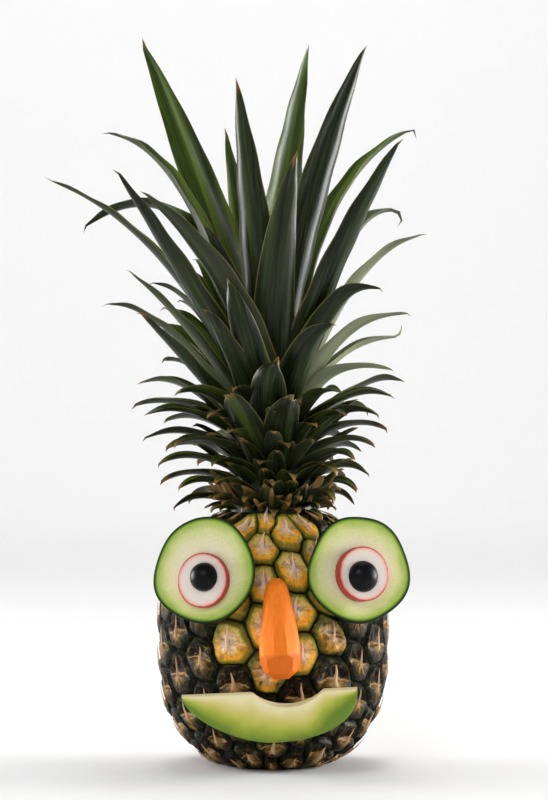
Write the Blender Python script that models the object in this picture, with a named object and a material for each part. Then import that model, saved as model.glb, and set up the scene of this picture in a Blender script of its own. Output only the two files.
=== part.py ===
"""A pineapple that stands on its base, with a face of cut vegetables pinned to its front.

Metres, +Z up. The face looks along -Y and the origin is the middle of the flat base.
Left and right are the viewer's, looking at the face. An azimuth is in degrees round the
fruit's axis: 0 is the front, 90 is the viewer's right and 180 is the back.
"""

import math
import random

import bmesh
import bpy
from mathutils import Matrix, Vector

MM = 0.001
GAP = 0.3 * MM
MERGE_DISTANCE = 0.01 * MM
SHARP_ANGLE = math.radians(35)

# Fruit: a barrel whose side is a superellipse, cut flat below and above
FRUIT_RADIUS = 59.5 * MM
FRUIT_HEIGHT = 131 * MM
WIDEST_HEIGHT = 66 * MM
LOWER_REACH = 69 * MM
UPPER_REACH = 67.5 * MM
BARREL_POWER = 2.6
PROFILE_STEPS = 400

# Fruitlets: a spiral lattice in which each one touches those 8, 13 and 21 places on
STEP_RIGHT = 8
STEP_LEFT = 13
STEP_UP = 21
DIVERGENCE = 0.3808
FRUITLET_RISE = 1.07 * MM
FRUITLET_SHRINK = 0.6
FIRST_FRUITLET_SHARE = 0.32
LAST_FRUITLET_SHARE = 0.30
GROOVE_DEPTH = 3.0 * MM
HEIGHT_VARIATION = 0.35 * MM
RIM_SHARE = 0.80
BASIN_SHARE = 0.46
SPINE_ROOT_SHARE = 0.13
BASIN_DEPTH_ABOVE = 1.5 * MM
BRACT_BULGE = 0.5 * MM
SPINE_LENGTH = 8.5 * MM
SPINE_STAND = 2.8 * MM
FLOOR_CLEARANCE = 0.4 * MM

# Crown: a short stem, with every leaf a blade bent along a parabola
STEM_BASE_RADIUS = 23.5 * MM
STEM_TOP_RADIUS = 6 * MM
STEM_TOP_HEIGHT = 205 * MM
STEM_SIDES = 12
ROOT_SINK = 3.5 * MM
LEAF_THICKNESS = 1.5 * MM
LEAF_FULLNESS = 3
LEAF_TAPER = 0.9
LEAF_NECK = 0.2
LEAF_NECK_SHARE = 0.25
CHANNEL_SHARE = 0.2
LONG_LEAF_STEPS = 6
SHORT_LEAF_STEPS = 4
GOLDEN_ANGLE = 137.508

# Long leaves, in millimetres: root height, halfway point, tip, and width
# A point is how far it lies to the viewer's right, to the back, and above the base
LONG_LEAVES = (
    (185, (-34, 35, 285), (-72, 60, 384.5), 26),
    (178, (-44, 12, 290), (-90, 22, 330), 17),
    (192, (-11, -30, 272), (-19, -34, 353), 23),
    (190, (-16, 48, 268), (-26, 58, 336), 16),
    (188, (3, 46, 293), (19, 52, 380), 25),
    (188, (19, -14, 282), (48, -8, 373), 24),
    (186, (2, -38, 252), (12, -42, 315), 23),
    (182, (28, 25, 281), (72, 42, 333), 18),
    (184, (33, -30, 257), (65, -42, 322), 21),
    (180, (35, 18, 263), (63, 24, 289), 15),
    (174, (41, -15, 246), (78, -22, 274), 15),
    (182, (-44, -34, 247), (-80, -50, 306), 20),
    (178, (-59, 5, 262), (-120, 10, 305), 16),
    (184, (-46, 26, 281), (-104, 42, 279), 22),
    (182, (-24, -36, 243), (-67, -48, 295), 22),
    (186, (-22, -24, 242), (-36, -26, 279), 20),
    (176, (-14, -42, 219), (-23, -46, 250), 18),
    (171, (-22, -36, 211), (-35, -46, 235), 18),
    (174, (-43, -14, 223), (-75, -24, 256), 16),
    (172, (-54, 4, 224), (-88, 6, 239), 14),
    (167, (-43, -28, 206), (-68, -40, 234), 16),
    (174, (-37, 18, 231), (-65, 24, 251), 13),
    (172, (29, -26, 232), (56, -32, 245), 19),
    (170, (15, -42, 211), (31, -54, 227), 19),
    (167, (34, -20, 218), (71, -26, 233), 15),
    (163, (29, 4, 205), (63, 6, 222), 15),
    (160, (27, -14, 199), (63, -20, 204), 17),
    (163, (-3, -44, 194), (2, -48, 209), 21),
    (157, (6, -44, 181), (9, -52, 190), 19),
    (155, (-17, -42, 181), (-24, -50, 191), 17),
)

# Ruff: arching leaves up a spiral; each pair is the lowest leaf's value and the highest one's
RUFF_LEAVES = 54
RUFF_ROOT = (133, 170)
RUFF_REACH = (47, 69)
RUFF_SHIFT = 5.5
RUFF_TIP_RISE = (-4, 19)
RUFF_ARCH = (5, 10)
RUFF_WIDTH = (12, 16)
RUFF_SWING = 6
RUFF_FRONT_LIFT = 15
RUFF_FRONT_LOSS = 0.22

# Back: longer leaves that fill the far side of the crown, up a spiral of their own
BACK_LEAVES = 15
BACK_SPREAD = (110, 252)
BACK_ROOT = (160, 186)
BACK_REACH = (74, 86)
BACK_TIP_RISE = (36, 122)
BACK_ARCH = (14, 18)
BACK_WIDTH = (15, 21)
BACK_VARIATION = 9

# Collar: short upright bracts round the crown's foot
COLLAR_BRACTS = 12
COLLAR_ROOT = 132.6
COLLAR_REACH = 31
COLLAR_TIP_RISE = 15
COLLAR_ARCH = 1
COLLAR_WIDTH = 12
TIP_VARIATION = 3

# Face: each piece's size, and where the middle of its back lies
EYES = {
    "left": {
        "x": -34.9 * MM,
        "turn": -24,
        "radish_place": (4.55 * MM, -5.6 * MM),
        "radish_thickness": 3 * MM,
        "olive_place": (5.65 * MM, -4.0 * MM),
        "olive_radius": 7.3 * MM,
        "lobe_phase": 0.4,
    },
    "right": {
        "x": 43.3 * MM,
        "turn": 24,
        "radish_place": (-3.6 * MM, -2.8 * MM),
        "radish_thickness": 5 * MM,
        "olive_place": (-4.6 * MM, -4.2 * MM),
        "olive_radius": 7.9 * MM,
        "lobe_phase": 2.1,
    },
}
EYE_HEIGHT = 103 * MM
EYE_TILT = 8
CUCUMBER_RADIUS = 26.8 * MM
CUCUMBER_THICKNESS = 8 * MM
CUCUMBER_LOBES = 5
CUCUMBER_LOBE_SHARE = 0.016
CUCUMBER_SIDES = 40
RADISH_RADIUS = 13.8 * MM
RADISH_SIDES = 32
OLIVE_HEIGHT = 6.5 * MM
OLIVE_SIDES = 20
OLIVE_RINGS = 5

# Nose: half-width of the peeled carrot at heights above its lower end
CARROT_X = 2.6 * MM
CARROT_BOTTOM = 50 * MM
CARROT_LEAN = -3
CARROT_STATIONS = (
    (0.0, 4.0),
    (3.6, 8.0),
    (7.5, 9.7),
    (12.5, 10.2),
    (23.0, 9.5),
    (32.0, 8.1),
    (38.5, 7.0),
    (43.5, 6.0),
    (47.5, 4.6),
    (50.0, 2.0),
)
CARROT_WIDEST = 10.2 * MM
CARROT_STAND_SHARE = 0.5
CARROT_SIDES = 14

# Mouth: a slice cut lengthwise from an avocado, with the hollow that its stone left
AVOCADO_LENGTH = 87.5 * MM
AVOCADO_DROP = 25 * MM
AVOCADO_LEFT_POWER = 1.6
AVOCADO_RIGHT_POWER = 2.3
AVOCADO_TOP = 44.3 * MM
AVOCADO_X = -1.3 * MM
AVOCADO_ROLL = 3
STONE_HOLLOW_X = 9 * MM
STONE_HOLLOW_HALF_WIDTH = 17.5 * MM
STONE_HOLLOW_DEPTH = 7.3 * MM
AVOCADO_TOP_THICKNESS = 5 * MM
AVOCADO_BOTTOM_THICKNESS = 15 * MM
AVOCADO_WEDGE = (AVOCADO_BOTTOM_THICKNESS - AVOCADO_TOP_THICKNESS) / AVOCADO_DROP
AVOCADO_OUTLINE_STEPS = 22
STONE_HOLLOW_STEPS = 8
STONE_HOLLOW_FULLNESS = 0.8
AVOCADO_SPIN_STEPS = 3

# How a piece is laid on the fruit
SEAT_PASSES = 3
SEAT_MARGIN = 10 * MM
SPINE_MARGIN = 3 * MM

# Cocktail sticks, hidden in the pieces that they hold
STICK_RADIUS = 1.1 * MM
STICK_SIDES = 8
STICK_POINT = 4 * MM
EYE_STICK_LENGTH = 62 * MM
SHORT_STICK_LENGTH = 34 * MM
STICK_IN_OLIVE = 4 * MM
STICK_IN_NOSE = 9 * MM
STICK_IN_MOUTH = 5 * MM
NOSE_STICK_HEIGHT = 20 * MM
MOUTH_STICK_SPREAD = 16 * MM
MOUTH_STICK_DROP = 15 * MM

SEED = 11


def direction(azimuth, elevation=0.0):
    """The unit vector at this azimuth round the axis and this angle above the horizon, in degrees."""
    turn, rise = math.radians(azimuth), math.radians(elevation)
    return Vector(
        (math.sin(turn) * math.cos(rise), -math.cos(turn) * math.cos(rise), math.sin(rise))
    )


def material(name, colour, roughness):
    made = bpy.data.materials.new(name)
    made.use_nodes = True
    shader = made.node_tree.nodes["Principled BSDF"]
    shader.inputs["Base Color"].default_value = (*colour, 1)
    shader.inputs["Roughness"].default_value = roughness
    return made


def object_from(bm, name, finish, place=None):
    """A smooth-shaded object made from the bmesh, set at the given place."""
    bmesh.ops.recalc_face_normals(bm, faces=bm.faces)
    mesh = bpy.data.meshes.new(name)
    bm.to_mesh(mesh)
    bm.free()
    mesh.shade_smooth()
    mesh.set_sharp_from_angle(angle=SHARP_ANGLE)
    mesh.materials.append(finish)
    made = bpy.data.objects.new(name, mesh)
    bpy.context.scene.collection.objects.link(made)
    if place is not None:
        made.matrix_world = place
    return made


def cut_hole(target, stick):
    """Takes the stick's hole out of the target, with a gap round the stick."""
    name = f"{stick.name}_hole"
    cutter = bpy.data.objects.get(name)
    if cutter is None:
        bm = bmesh.new()
        bmesh.ops.create_cone(
            bm,
            cap_ends=True,
            segments=STICK_SIDES,
            radius1=STICK_RADIUS + GAP,
            radius2=STICK_RADIUS + GAP,
            depth=stick["length"] + 2 * GAP,
            matrix=Matrix.Translation((0, 0, -stick["length"] / 2)),
        )
        cutter = object_from(bm, name, stick.data.materials[0], stick.matrix_world.copy())
        cutter.hide_render = True
        cutter.display_type = "WIRE"
    hole = target.modifiers.new(name, "BOOLEAN")
    hole.operation = "DIFFERENCE"
    hole.object = cutter


# Fruit


def barrel_points():
    """The side of the barrel from its base to its top, as (arc length, radius, height)."""
    low = -math.asin(min(1, (WIDEST_HEIGHT / LOWER_REACH) ** (BARREL_POWER / 2)))
    high = math.asin(
        min(1, ((FRUIT_HEIGHT - WIDEST_HEIGHT) / UPPER_REACH) ** (BARREL_POWER / 2))
    )
    points = []
    length = 0.0
    for step in range(PROFILE_STEPS + 1):
        angle = low + (high - low) * step / PROFILE_STEPS
        reach = UPPER_REACH if angle > 0 else LOWER_REACH
        radius = FRUIT_RADIUS * math.cos(angle) ** (2 / BARREL_POWER)
        rise = math.copysign(abs(math.sin(angle)) ** (2 / BARREL_POWER), angle)
        height = WIDEST_HEIGHT + reach * rise
        if points:
            length += math.hypot(radius - points[-1][1], height - points[-1][2])
        points.append((length, radius, height))
    return points


BARREL = barrel_points()
BARREL_LENGTH = BARREL[-1][0]


def on_barrel(along):
    """Radius, height, and the outward normal (radial, up) of the barrel's side at this arc length."""
    along = min(max(along, 0.0), BARREL_LENGTH)
    low, high = 0, len(BARREL) - 1
    while high - low > 1:
        middle = (low + high) // 2
        if BARREL[middle][0] <= along:
            low = middle
        else:
            high = middle
    span = BARREL[high][0] - BARREL[low][0]
    share = (along - BARREL[low][0]) / span
    radius = BARREL[low][1] + (BARREL[high][1] - BARREL[low][1]) * share
    height = BARREL[low][2] + (BARREL[high][2] - BARREL[low][2]) * share
    across = (BARREL[high][2] - BARREL[low][2]) / span
    up = -(BARREL[high][1] - BARREL[low][1]) / span
    return radius, height, across, up


def fruit_point(turn, along, raised):
    """The point on the fruit at this angle (radians) and arc length, raised along the normal."""
    radius, height, across, up = on_barrel(along)
    out = radius + across * raised
    return Vector((math.sin(turn) * out, -math.cos(turn) * out, height + up * raised))


def fruitlet_lengths():
    """Arc length of each fruitlet up the side: their spacing shrinks with the barrel's radius."""
    height = FRUITLET_RISE * STEP_UP
    lengths = [height * FIRST_FRUITLET_SHARE]
    while lengths[-1] < BARREL_LENGTH - height * LAST_FRUITLET_SHARE:
        radius = on_barrel(lengths[-1])[0]
        lengths.append(lengths[-1] + FRUITLET_RISE * (radius / FRUIT_RADIUS) ** FRUITLET_SHRINK)
    return lengths


def part_turn(steps):
    """The angle in radians from one fruitlet to the one so many places on, the short way round."""
    share = (steps * DIVERGENCE) % 1.0
    return (share - 1 if share > 0.5 else share) * math.tau


class Fruitlets:
    """The lattice of fruitlets, with the six corners of each one."""

    def __init__(self):
        self.lengths = fruitlet_lengths()
        self.count = len(self.lengths)
        draw = random.Random(SEED)
        self.raised = [draw.uniform(-1, 1) * HEIGHT_VARIATION for _ in self.lengths]

    def along(self, place):
        """Arc length of a place in the spiral, carried on past both ends."""
        if place < 0:
            return self.lengths[0] + place * FRUITLET_RISE
        if place >= self.count:
            return self.lengths[-1] + (place - self.count + 1) * FRUITLET_RISE
        return self.lengths[place]

    def corner(self, place, side_step):
        """Key, angle and arc length of the corner between a place, the one above it and one beside."""
        turn = place * DIVERGENCE * math.tau + (part_turn(side_step) + part_turn(STEP_UP)) / 3
        places = (place, place + side_step, place + STEP_UP)
        inside = [0 <= p < self.count for p in places]
        along = sum(self.along(p) for p in places) / 3
        if not all(inside):
            along = 0.0 if places[0] < 0 else BARREL_LENGTH
        return (place, side_step), turn, along, all(inside)

    def corners(self, place):
        """The six corners round a fruitlet, from its upper right, clockwise seen from outside."""
        found = (
            self.corner(place, STEP_RIGHT),
            self.corner(place - STEP_LEFT, STEP_LEFT),
            self.corner(place - STEP_UP, STEP_RIGHT),
            self.corner(place - STEP_UP, STEP_LEFT),
            self.corner(place - STEP_RIGHT, STEP_RIGHT),
            self.corner(place, STEP_LEFT),
        )
        own_turn = place * DIVERGENCE * math.tau
        return [
            (key, own_turn + (turn - own_turn + math.pi) % math.tau - math.pi, along, inside)
            for key, turn, along, inside in found
        ]

    def middle(self, place):
        corners = self.corners(place)
        turn = sum(c[1] for c in corners) / len(corners)
        along = sum(c[2] for c in corners) / len(corners)
        return turn, along

    def inner_ring(self, place, share):
        """Points round a fruitlet, drawn in from its corners, with the relief of its two halves."""
        turn, along = self.middle(place)
        points = []
        for _, corner_turn, corner_along, _ in self.corners(place):
            here_turn = turn + (corner_turn - turn) * share
            here_along = along + (corner_along - along) * share
            raised = self.raised[place]
            if share < RIM_SHARE:
                above = corner_along > along
                raised += -BASIN_DEPTH_ABOVE if above else BRACT_BULGE
            point = fruit_point(here_turn, here_along, raised)
            point.z = max(point.z, FLOOR_CLEARANCE)
            points.append(point)
        return points

    def rim_points(self):
        """Every fruitlet's rim and middle, which a piece of the face may rest on."""
        points = []
        for place in range(self.count):
            points += self.inner_ring(place, RIM_SHARE)
            points += self.inner_ring(place, BASIN_SHARE)
            points.append(self.tip(place, with_spine=False))
        return points

    def tip(self, place, with_spine=True):
        """The middle of a fruitlet, or the tip of the dry spine that ends its bract."""
        turn, along = self.middle(place)
        if not with_spine:
            return fruit_point(turn, along, self.raised[place])
        tip = fruit_point(turn, along + SPINE_LENGTH, SPINE_STAND + self.raised[place])
        tip.z = max(tip.z, FLOOR_CLEARANCE)
        return tip


def build_fruit(fruitlets, finish, seats):
    """One closed skin of fruitlets, with a flat base and a flat top that carries the crown."""
    bm = bmesh.new()
    shared = {}
    for place in range(fruitlets.count):
        outer = []
        for key, turn, along, inside in fruitlets.corners(place):
            if key not in shared:
                depth = -GROOVE_DEPTH if inside else 0.0
                shared[key] = bm.verts.new(fruit_point(turn, along, depth))
            outer.append(shared[key])
        for share in (RIM_SHARE, BASIN_SHARE, SPINE_ROOT_SHARE):
            inner = [bm.verts.new(point) for point in fruitlets.inner_ring(place, share)]
            for i in range(len(outer)):
                j = (i + 1) % len(outer)
                bm.faces.new((outer[i], inner[i], inner[j], outer[j]))
            outer = inner
        keeps_spine = all(seat.clears(fruitlets.tip(place)) for seat in seats)
        tip = bm.verts.new(fruitlets.tip(place, keeps_spine))
        for i in range(len(outer)):
            bm.faces.new((outer[i], tip, outer[(i + 1) % len(outer)]))
    open_edges = [edge for edge in bm.edges if edge.is_boundary]
    caps = bmesh.ops.holes_fill(bm, edges=open_edges, sides=0)["faces"]
    for cap in caps:
        for vert in cap.verts:
            vert.co.z = 0.0 if vert.co.z < WIDEST_HEIGHT else FRUIT_HEIGHT
    bmesh.ops.triangulate(bm, faces=[f for f in bm.faces if f not in caps])
    return object_from(bm, "fruit", finish)


class Seat:
    """A plane laid against the fruit, on the highest rim under a piece of the face."""

    def __init__(self, rims, x, height, turn, tilt, half_width, half_height, roll=0.0):
        normal = direction(turn, tilt)
        side = direction(turn + 90)
        axes = Matrix((side, normal.cross(side), normal)).transposed().to_4x4()
        self.half_width, self.half_height = half_width, half_height
        y = -FRUIT_RADIUS
        for _ in range(SEAT_PASSES):
            self.place = Matrix.Translation((x, y, height)) @ axes
            under = [normal.dot(p) for p in rims if p.y < 0 and self.covers(p, SEAT_MARGIN)]
            y = (max(under) + GAP - normal.x * x - normal.z * height) / normal.y
        self.place = Matrix.Translation((x, y, height)) @ axes
        self.place @= Matrix.Rotation(math.radians(roll), 4, "Z")

    def covers(self, point, margin):
        """Whether the point is behind the piece, or within a margin round it."""
        local = self.place.inverted() @ point
        across = local.x / (self.half_width + margin)
        along = local.y / (self.half_height + margin)
        return across**2 + along**2 < 1

    def clears(self, point):
        """Whether a spine's tip stays behind the seat's plane, or outside the piece on it."""
        behind = (self.place.inverted() @ point).z < -GAP
        return point.y > 0 or behind or not self.covers(point, SPINE_MARGIN)


# Crown


def stem_radius(height):
    share = (height - FRUIT_HEIGHT) / (STEM_TOP_HEIGHT - FRUIT_HEIGHT)
    return STEM_BASE_RADIUS + (STEM_TOP_RADIUS - STEM_BASE_RADIUS) * min(share, 1.0)


def between(pair, share):
    return pair[0] + (pair[1] - pair[0]) * share


def spiral_leaf(azimuth, root, reach, tip_rise, arch, width):
    """A leaf in the plane of its azimuth, lifted by its arch halfway along."""
    foot = stem_radius(root * MM) / MM
    ahead = direction(azimuth)
    halfway = ahead * (foot + reach) / 2 + Vector((0, 0, root + tip_rise / 2 + arch))
    tip = ahead * reach + Vector((0, 0, root + tip_rise))
    return root, halfway, tip, width


def ruff_leaves():
    """The small leaves low on the crown: longer up the spiral and to the left, steeper in front."""
    draw = random.Random(SEED)
    for i in range(RUFF_LEAVES):
        share = i / (RUFF_LEAVES - 1)
        azimuth = i * GOLDEN_ANGLE + draw.uniform(-RUFF_SWING, RUFF_SWING)
        front = max(0.0, math.cos(math.radians(azimuth))) ** 2
        reach = between(RUFF_REACH, share) * (1 - RUFF_FRONT_LOSS * front)
        reach -= RUFF_SHIFT * math.sin(math.radians(azimuth))
        rise = between(RUFF_TIP_RISE, share) + RUFF_FRONT_LIFT * front
        yield spiral_leaf(
            azimuth,
            between(RUFF_ROOT, share),
            reach + draw.uniform(-TIP_VARIATION, TIP_VARIATION),
            rise + draw.uniform(-TIP_VARIATION, TIP_VARIATION),
            between(RUFF_ARCH, share),
            between(RUFF_WIDTH, share),
        )


def back_leaves():
    """The longer leaves of the crown's far side."""
    draw = random.Random(SEED + 1)
    span = BACK_SPREAD[1] - BACK_SPREAD[0]
    for i in range(BACK_LEAVES):
        share = i / (BACK_LEAVES - 1)
        yield spiral_leaf(
            BACK_SPREAD[0] + (i * GOLDEN_ANGLE) % span,
            between(BACK_ROOT, share),
            between(BACK_REACH, share) + draw.uniform(-BACK_VARIATION, BACK_VARIATION),
            between(BACK_TIP_RISE, share) + draw.uniform(-BACK_VARIATION, BACK_VARIATION),
            between(BACK_ARCH, share),
            between(BACK_WIDTH, share),
        )


def collar_bracts():
    """The ring of short bracts that hides where the crown meets the fruit."""
    draw = random.Random(SEED + 2)
    for i in range(COLLAR_BRACTS):
        yield spiral_leaf(
            360 * i / COLLAR_BRACTS + draw.uniform(-RUFF_SWING, RUFF_SWING),
            COLLAR_ROOT,
            COLLAR_REACH + draw.uniform(-1, 1),
            COLLAR_TIP_RISE + draw.uniform(-TIP_VARIATION, TIP_VARIATION),
            COLLAR_ARCH,
            COLLAR_WIDTH,
        )


def leaf_line(leaf, steps):
    """Points, directions and shares of the length along a leaf's middle, from its root to its tip."""
    root_height, halfway, tip, _ = leaf
    halfway, tip = Vector(halfway) * MM, Vector(tip) * MM
    foot = stem_radius(root_height * MM) - ROOT_SINK
    root = outward(halfway) * foot + Vector((0, 0, root_height * MM))
    control = 2 * halfway - (root + tip) / 2
    for i in range(steps + 1):
        t = i / steps
        point = root * (1 - t) ** 2 + control * 2 * t * (1 - t) + tip * t**2
        ahead = (control - root) * (1 - t) + (tip - control) * t
        yield point, ahead.normalized(), t


def outward(point):
    """The level direction from the axis to the point."""
    return Vector((point.x, point.y, 0)).normalized()


def leaf_share(t):
    """A leaf's width along it, as a share of its widest: a sword's outline with a narrower foot."""
    neck = 1 - LEAF_NECK * max(0.0, 1 - t / LEAF_NECK_SHARE) ** 2
    return neck * (1 - t**LEAF_FULLNESS) ** LEAF_TAPER


def add_leaf(bm, leaf, steps):
    """A channelled blade with a four-sided section, closed at its root and drawn to its tip."""
    out = outward(Vector(leaf[1]))
    level = Vector((-out.y, out.x, 0))
    rings = []
    for point, ahead, t in leaf_line(leaf, steps):
        if t == 1:
            tip = bm.verts.new(point)
            continue
        side = (level - ahead * level.dot(ahead)).normalized()
        inner = ahead.cross(side)
        half = leaf[3] * MM / 2 * leaf_share(t)
        channel = 2 * half * CHANNEL_SHARE
        ring = (
            point + side * half + inner * channel,
            point + inner * LEAF_THICKNESS / 2,
            point - side * half + inner * channel,
            point - inner * LEAF_THICKNESS / 2,
        )
        rings.append([bm.verts.new(corner) for corner in ring])
    bm.faces.new(rings[0])
    for low, high in zip(rings, rings[1:]):
        for i in range(4):
            j = (i + 1) % 4
            bm.faces.new((low[i], high[i], high[j], low[j]))
    for i in range(4):
        bm.faces.new((rings[-1][i], tip, rings[-1][(i + 1) % 4]))
    bmesh.ops.triangulate(bm, faces=bm.faces)


def keep_outer_skin(mesh):
    """Keeps the mesh's largest closed skin, which fills the hollows sealed among the leaf roots."""
    bm = bmesh.new()
    bm.from_mesh(mesh)
    unseen = set(bm.faces)
    skins = []
    while unseen:
        skin, waiting = [], [unseen.pop()]
        while waiting:
            face = waiting.pop()
            skin.append(face)
            near = {other for edge in face.edges for other in edge.link_faces} & unseen
            unseen -= near
            waiting.extend(near)
        skins.append(skin)
    largest = max(skins, key=len)
    spare = [face for skin in skins if skin is not largest for face in skin]
    bmesh.ops.delete(bm, geom=spare, context="FACES")
    bm.to_mesh(mesh)
    bm.free()


def build_crown(finish):
    """The stem with every leaf fused to it by one union."""
    bm = bmesh.new()
    height = STEM_TOP_HEIGHT - FRUIT_HEIGHT - GAP
    bmesh.ops.create_cone(
        bm,
        cap_ends=True,
        segments=STEM_SIDES,
        radius1=STEM_BASE_RADIUS,
        radius2=STEM_TOP_RADIUS,
        depth=height,
        matrix=Matrix.Translation((0, 0, FRUIT_HEIGHT + GAP + height / 2)),
    )
    crown = object_from(bm, "crown", finish)
    leaves = bpy.data.collections.new("leaves")
    bpy.context.scene.collection.children.link(leaves)
    groups = (
        (LONG_LEAVES, LONG_LEAF_STEPS),
        (back_leaves(), LONG_LEAF_STEPS - 1),
        (ruff_leaves(), SHORT_LEAF_STEPS),
        (collar_bracts(), SHORT_LEAF_STEPS - 1),
    )
    for group, steps in groups:
        for leaf in group:
            bm = bmesh.new()
            add_leaf(bm, leaf, steps)
            blade = object_from(bm, "leaf", finish)
            bpy.context.scene.collection.objects.unlink(blade)
            leaves.objects.link(blade)
    union = crown.modifiers.new("leaves", "BOOLEAN")
    union.operation = "UNION"
    union.operand_type = "COLLECTION"
    union.collection = leaves
    union.solver = "MANIFOLD"
    bpy.context.view_layer.update()
    crown.data = bpy.data.meshes.new_from_object(
        crown.evaluated_get(bpy.context.evaluated_depsgraph_get())
    )
    crown.modifiers.clear()
    keep_outer_skin(crown.data)
    for blade in list(leaves.objects):
        bpy.data.objects.remove(blade)
    bpy.data.collections.remove(leaves)


# Face


def empty_at(name, place):
    made = bpy.data.objects.new(name, None)
    bpy.context.scene.collection.objects.link(made)
    made.matrix_world = place
    return made


def fix_to(parent, child):
    """Parents the child, which keeps its own place in the parent's axes."""
    bpy.context.view_layer.update()
    place = child.matrix_world.copy()
    child.parent = parent
    child.matrix_world = place


def slice_of(outline, thickness, name, finish, place):
    """A flat slice of this outline, from its back to its cut front."""
    bm = bmesh.new()
    face = bm.faces.new([bm.verts.new(point) for point in outline])
    made = bmesh.ops.extrude_face_region(bm, geom=[face])["geom"]
    lifted = [v for v in made if isinstance(v, bmesh.types.BMVert)]
    bmesh.ops.translate(bm, verts=lifted, vec=(0, 0, thickness))
    return object_from(bm, name, finish, place)


def direction_on_slice(step, sides):
    angle = math.tau * step / sides
    return Vector((math.cos(angle), math.sin(angle), 0))


def cucumber_outline(phase):
    """A round outline with the shallow lobes of the fruit's seed chambers."""
    points = []
    for i in range(CUCUMBER_SIDES):
        lobe = math.cos(CUCUMBER_LOBES * math.tau * i / CUCUMBER_SIDES + phase)
        out = CUCUMBER_RADIUS * (1 + CUCUMBER_LOBE_SHARE * lobe)
        points.append(direction_on_slice(i, CUCUMBER_SIDES) * out)
    return points


def olive_end(radius, name, finish, place):
    """The rounded end of an olive, cut flat behind."""
    bm = bmesh.new()
    profile = []
    for i in range(OLIVE_RINGS + 1):
        angle = math.pi / 2 * i / OLIVE_RINGS
        point = (radius * math.cos(angle), 0, OLIVE_HEIGHT * math.sin(angle))
        profile.append(bm.verts.new(point))
    edges = [bm.edges.new(pair) for pair in zip(profile, profile[1:])]
    bmesh.ops.spin(
        bm,
        geom=profile + edges,
        cent=(0, 0, 0),
        axis=(0, 0, 1),
        angle=math.tau,
        steps=OLIVE_SIDES,
        use_merge=True,
    )
    bmesh.ops.remove_doubles(bm, verts=bm.verts, dist=MERGE_DISTANCE)
    bmesh.ops.holes_fill(bm, edges=[e for e in bm.edges if e.is_boundary], sides=0)
    return object_from(bm, name, finish, place)


def cocktail_stick(name, length, finish, place):
    """A round stick with a point at its far end; it runs from the place back along -Z."""
    bm = bmesh.new()
    bmesh.ops.create_cone(
        bm,
        cap_ends=True,
        segments=STICK_SIDES,
        radius1=STICK_RADIUS,
        radius2=STICK_RADIUS,
        depth=length - STICK_POINT,
        matrix=Matrix.Translation((0, 0, -(length - STICK_POINT) / 2)),
    )
    blunt = min(bm.faces, key=lambda face: face.calc_center_median().z)
    bmesh.ops.poke(bm, faces=[blunt])["verts"][0].co.z = -length
    stick = object_from(bm, name, finish, place)
    stick["length"] = length
    return stick


def build_eye(side, seat, finishes, fruit):
    """A slice of cucumber, a slice of radish and the end of an olive, on one stick."""
    eye = empty_at(f"{side}_eye", seat.place)
    radish_thickness = EYES[side]["radish_thickness"]
    radish_back = CUCUMBER_THICKNESS + GAP
    olive_back = radish_back + radish_thickness + GAP
    cucumber = slice_of(
        cucumber_outline(EYES[side]["lobe_phase"]),
        CUCUMBER_THICKNESS,
        f"{side}_cucumber_slice",
        finishes["cucumber"],
        seat.place,
    )
    radish = slice_of(
        [direction_on_slice(i, RADISH_SIDES) * RADISH_RADIUS for i in range(RADISH_SIDES)],
        radish_thickness,
        f"{side}_radish_slice",
        finishes["radish"],
        seat.place @ Matrix.Translation((*EYES[side]["radish_place"], radish_back)),
    )
    olive = olive_end(
        EYES[side]["olive_radius"],
        f"{side}_olive_end",
        finishes["olive"],
        seat.place @ Matrix.Translation((*EYES[side]["olive_place"], olive_back)),
    )
    stick = cocktail_stick(
        f"{side}_eye_stick",
        EYE_STICK_LENGTH,
        finishes["stick"],
        seat.place
        @ Matrix.Translation((*EYES[side]["olive_place"], olive_back + STICK_IN_OLIVE)),
    )
    for piece in (cucumber, radish, olive, stick):
        fix_to(eye, piece)
    for target in (cucumber, radish, olive, fruit):
        cut_hole(target, stick)


def build_nose(seat, finishes, fruit):
    """A peeled carrot tip, round but for its flat back, with its thick end down."""
    bm = bmesh.new()
    length = CARROT_STATIONS[-1][0] * MM
    rings = []
    for height, half_width in CARROT_STATIONS:
        middle = Vector((0, height * MM - length / 2, half_width * MM * CARROT_STAND_SHARE))
        points = []
        for i in range(CARROT_SIDES):
            angle = math.tau * i / CARROT_SIDES
            around = Vector((math.cos(angle), 0, math.sin(angle)))
            points.append(bm.verts.new(middle + around * half_width * MM))
        rings.append(points)
    for low, high in zip(rings, rings[1:]):
        for i in range(CARROT_SIDES):
            j = (i + 1) % CARROT_SIDES
            bm.faces.new((low[i], low[j], high[j], high[i]))
    bm.faces.new(rings[0])
    bm.faces.new(rings[-1])
    everything = [*bm.verts, *bm.edges, *bm.faces]
    bmesh.ops.bisect_plane(
        bm, geom=everything, plane_co=(0, 0, 0), plane_no=(0, 0, -1), clear_outer=True
    )
    bmesh.ops.holes_fill(bm, edges=[e for e in bm.edges if e.is_boundary], sides=0)
    bmesh.ops.triangulate(bm, faces=[face for face in bm.faces if len(face.verts) == 4])
    nose = object_from(bm, "carrot_nose", finishes["carrot"], seat.place)
    up = Matrix.Translation((0, NOSE_STICK_HEIGHT - length / 2, STICK_IN_NOSE))
    stick = cocktail_stick("nose_stick", SHORT_STICK_LENGTH, finishes["stick"], seat.place @ up)
    for target in (nose, fruit):
        cut_hole(target, stick)


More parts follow.
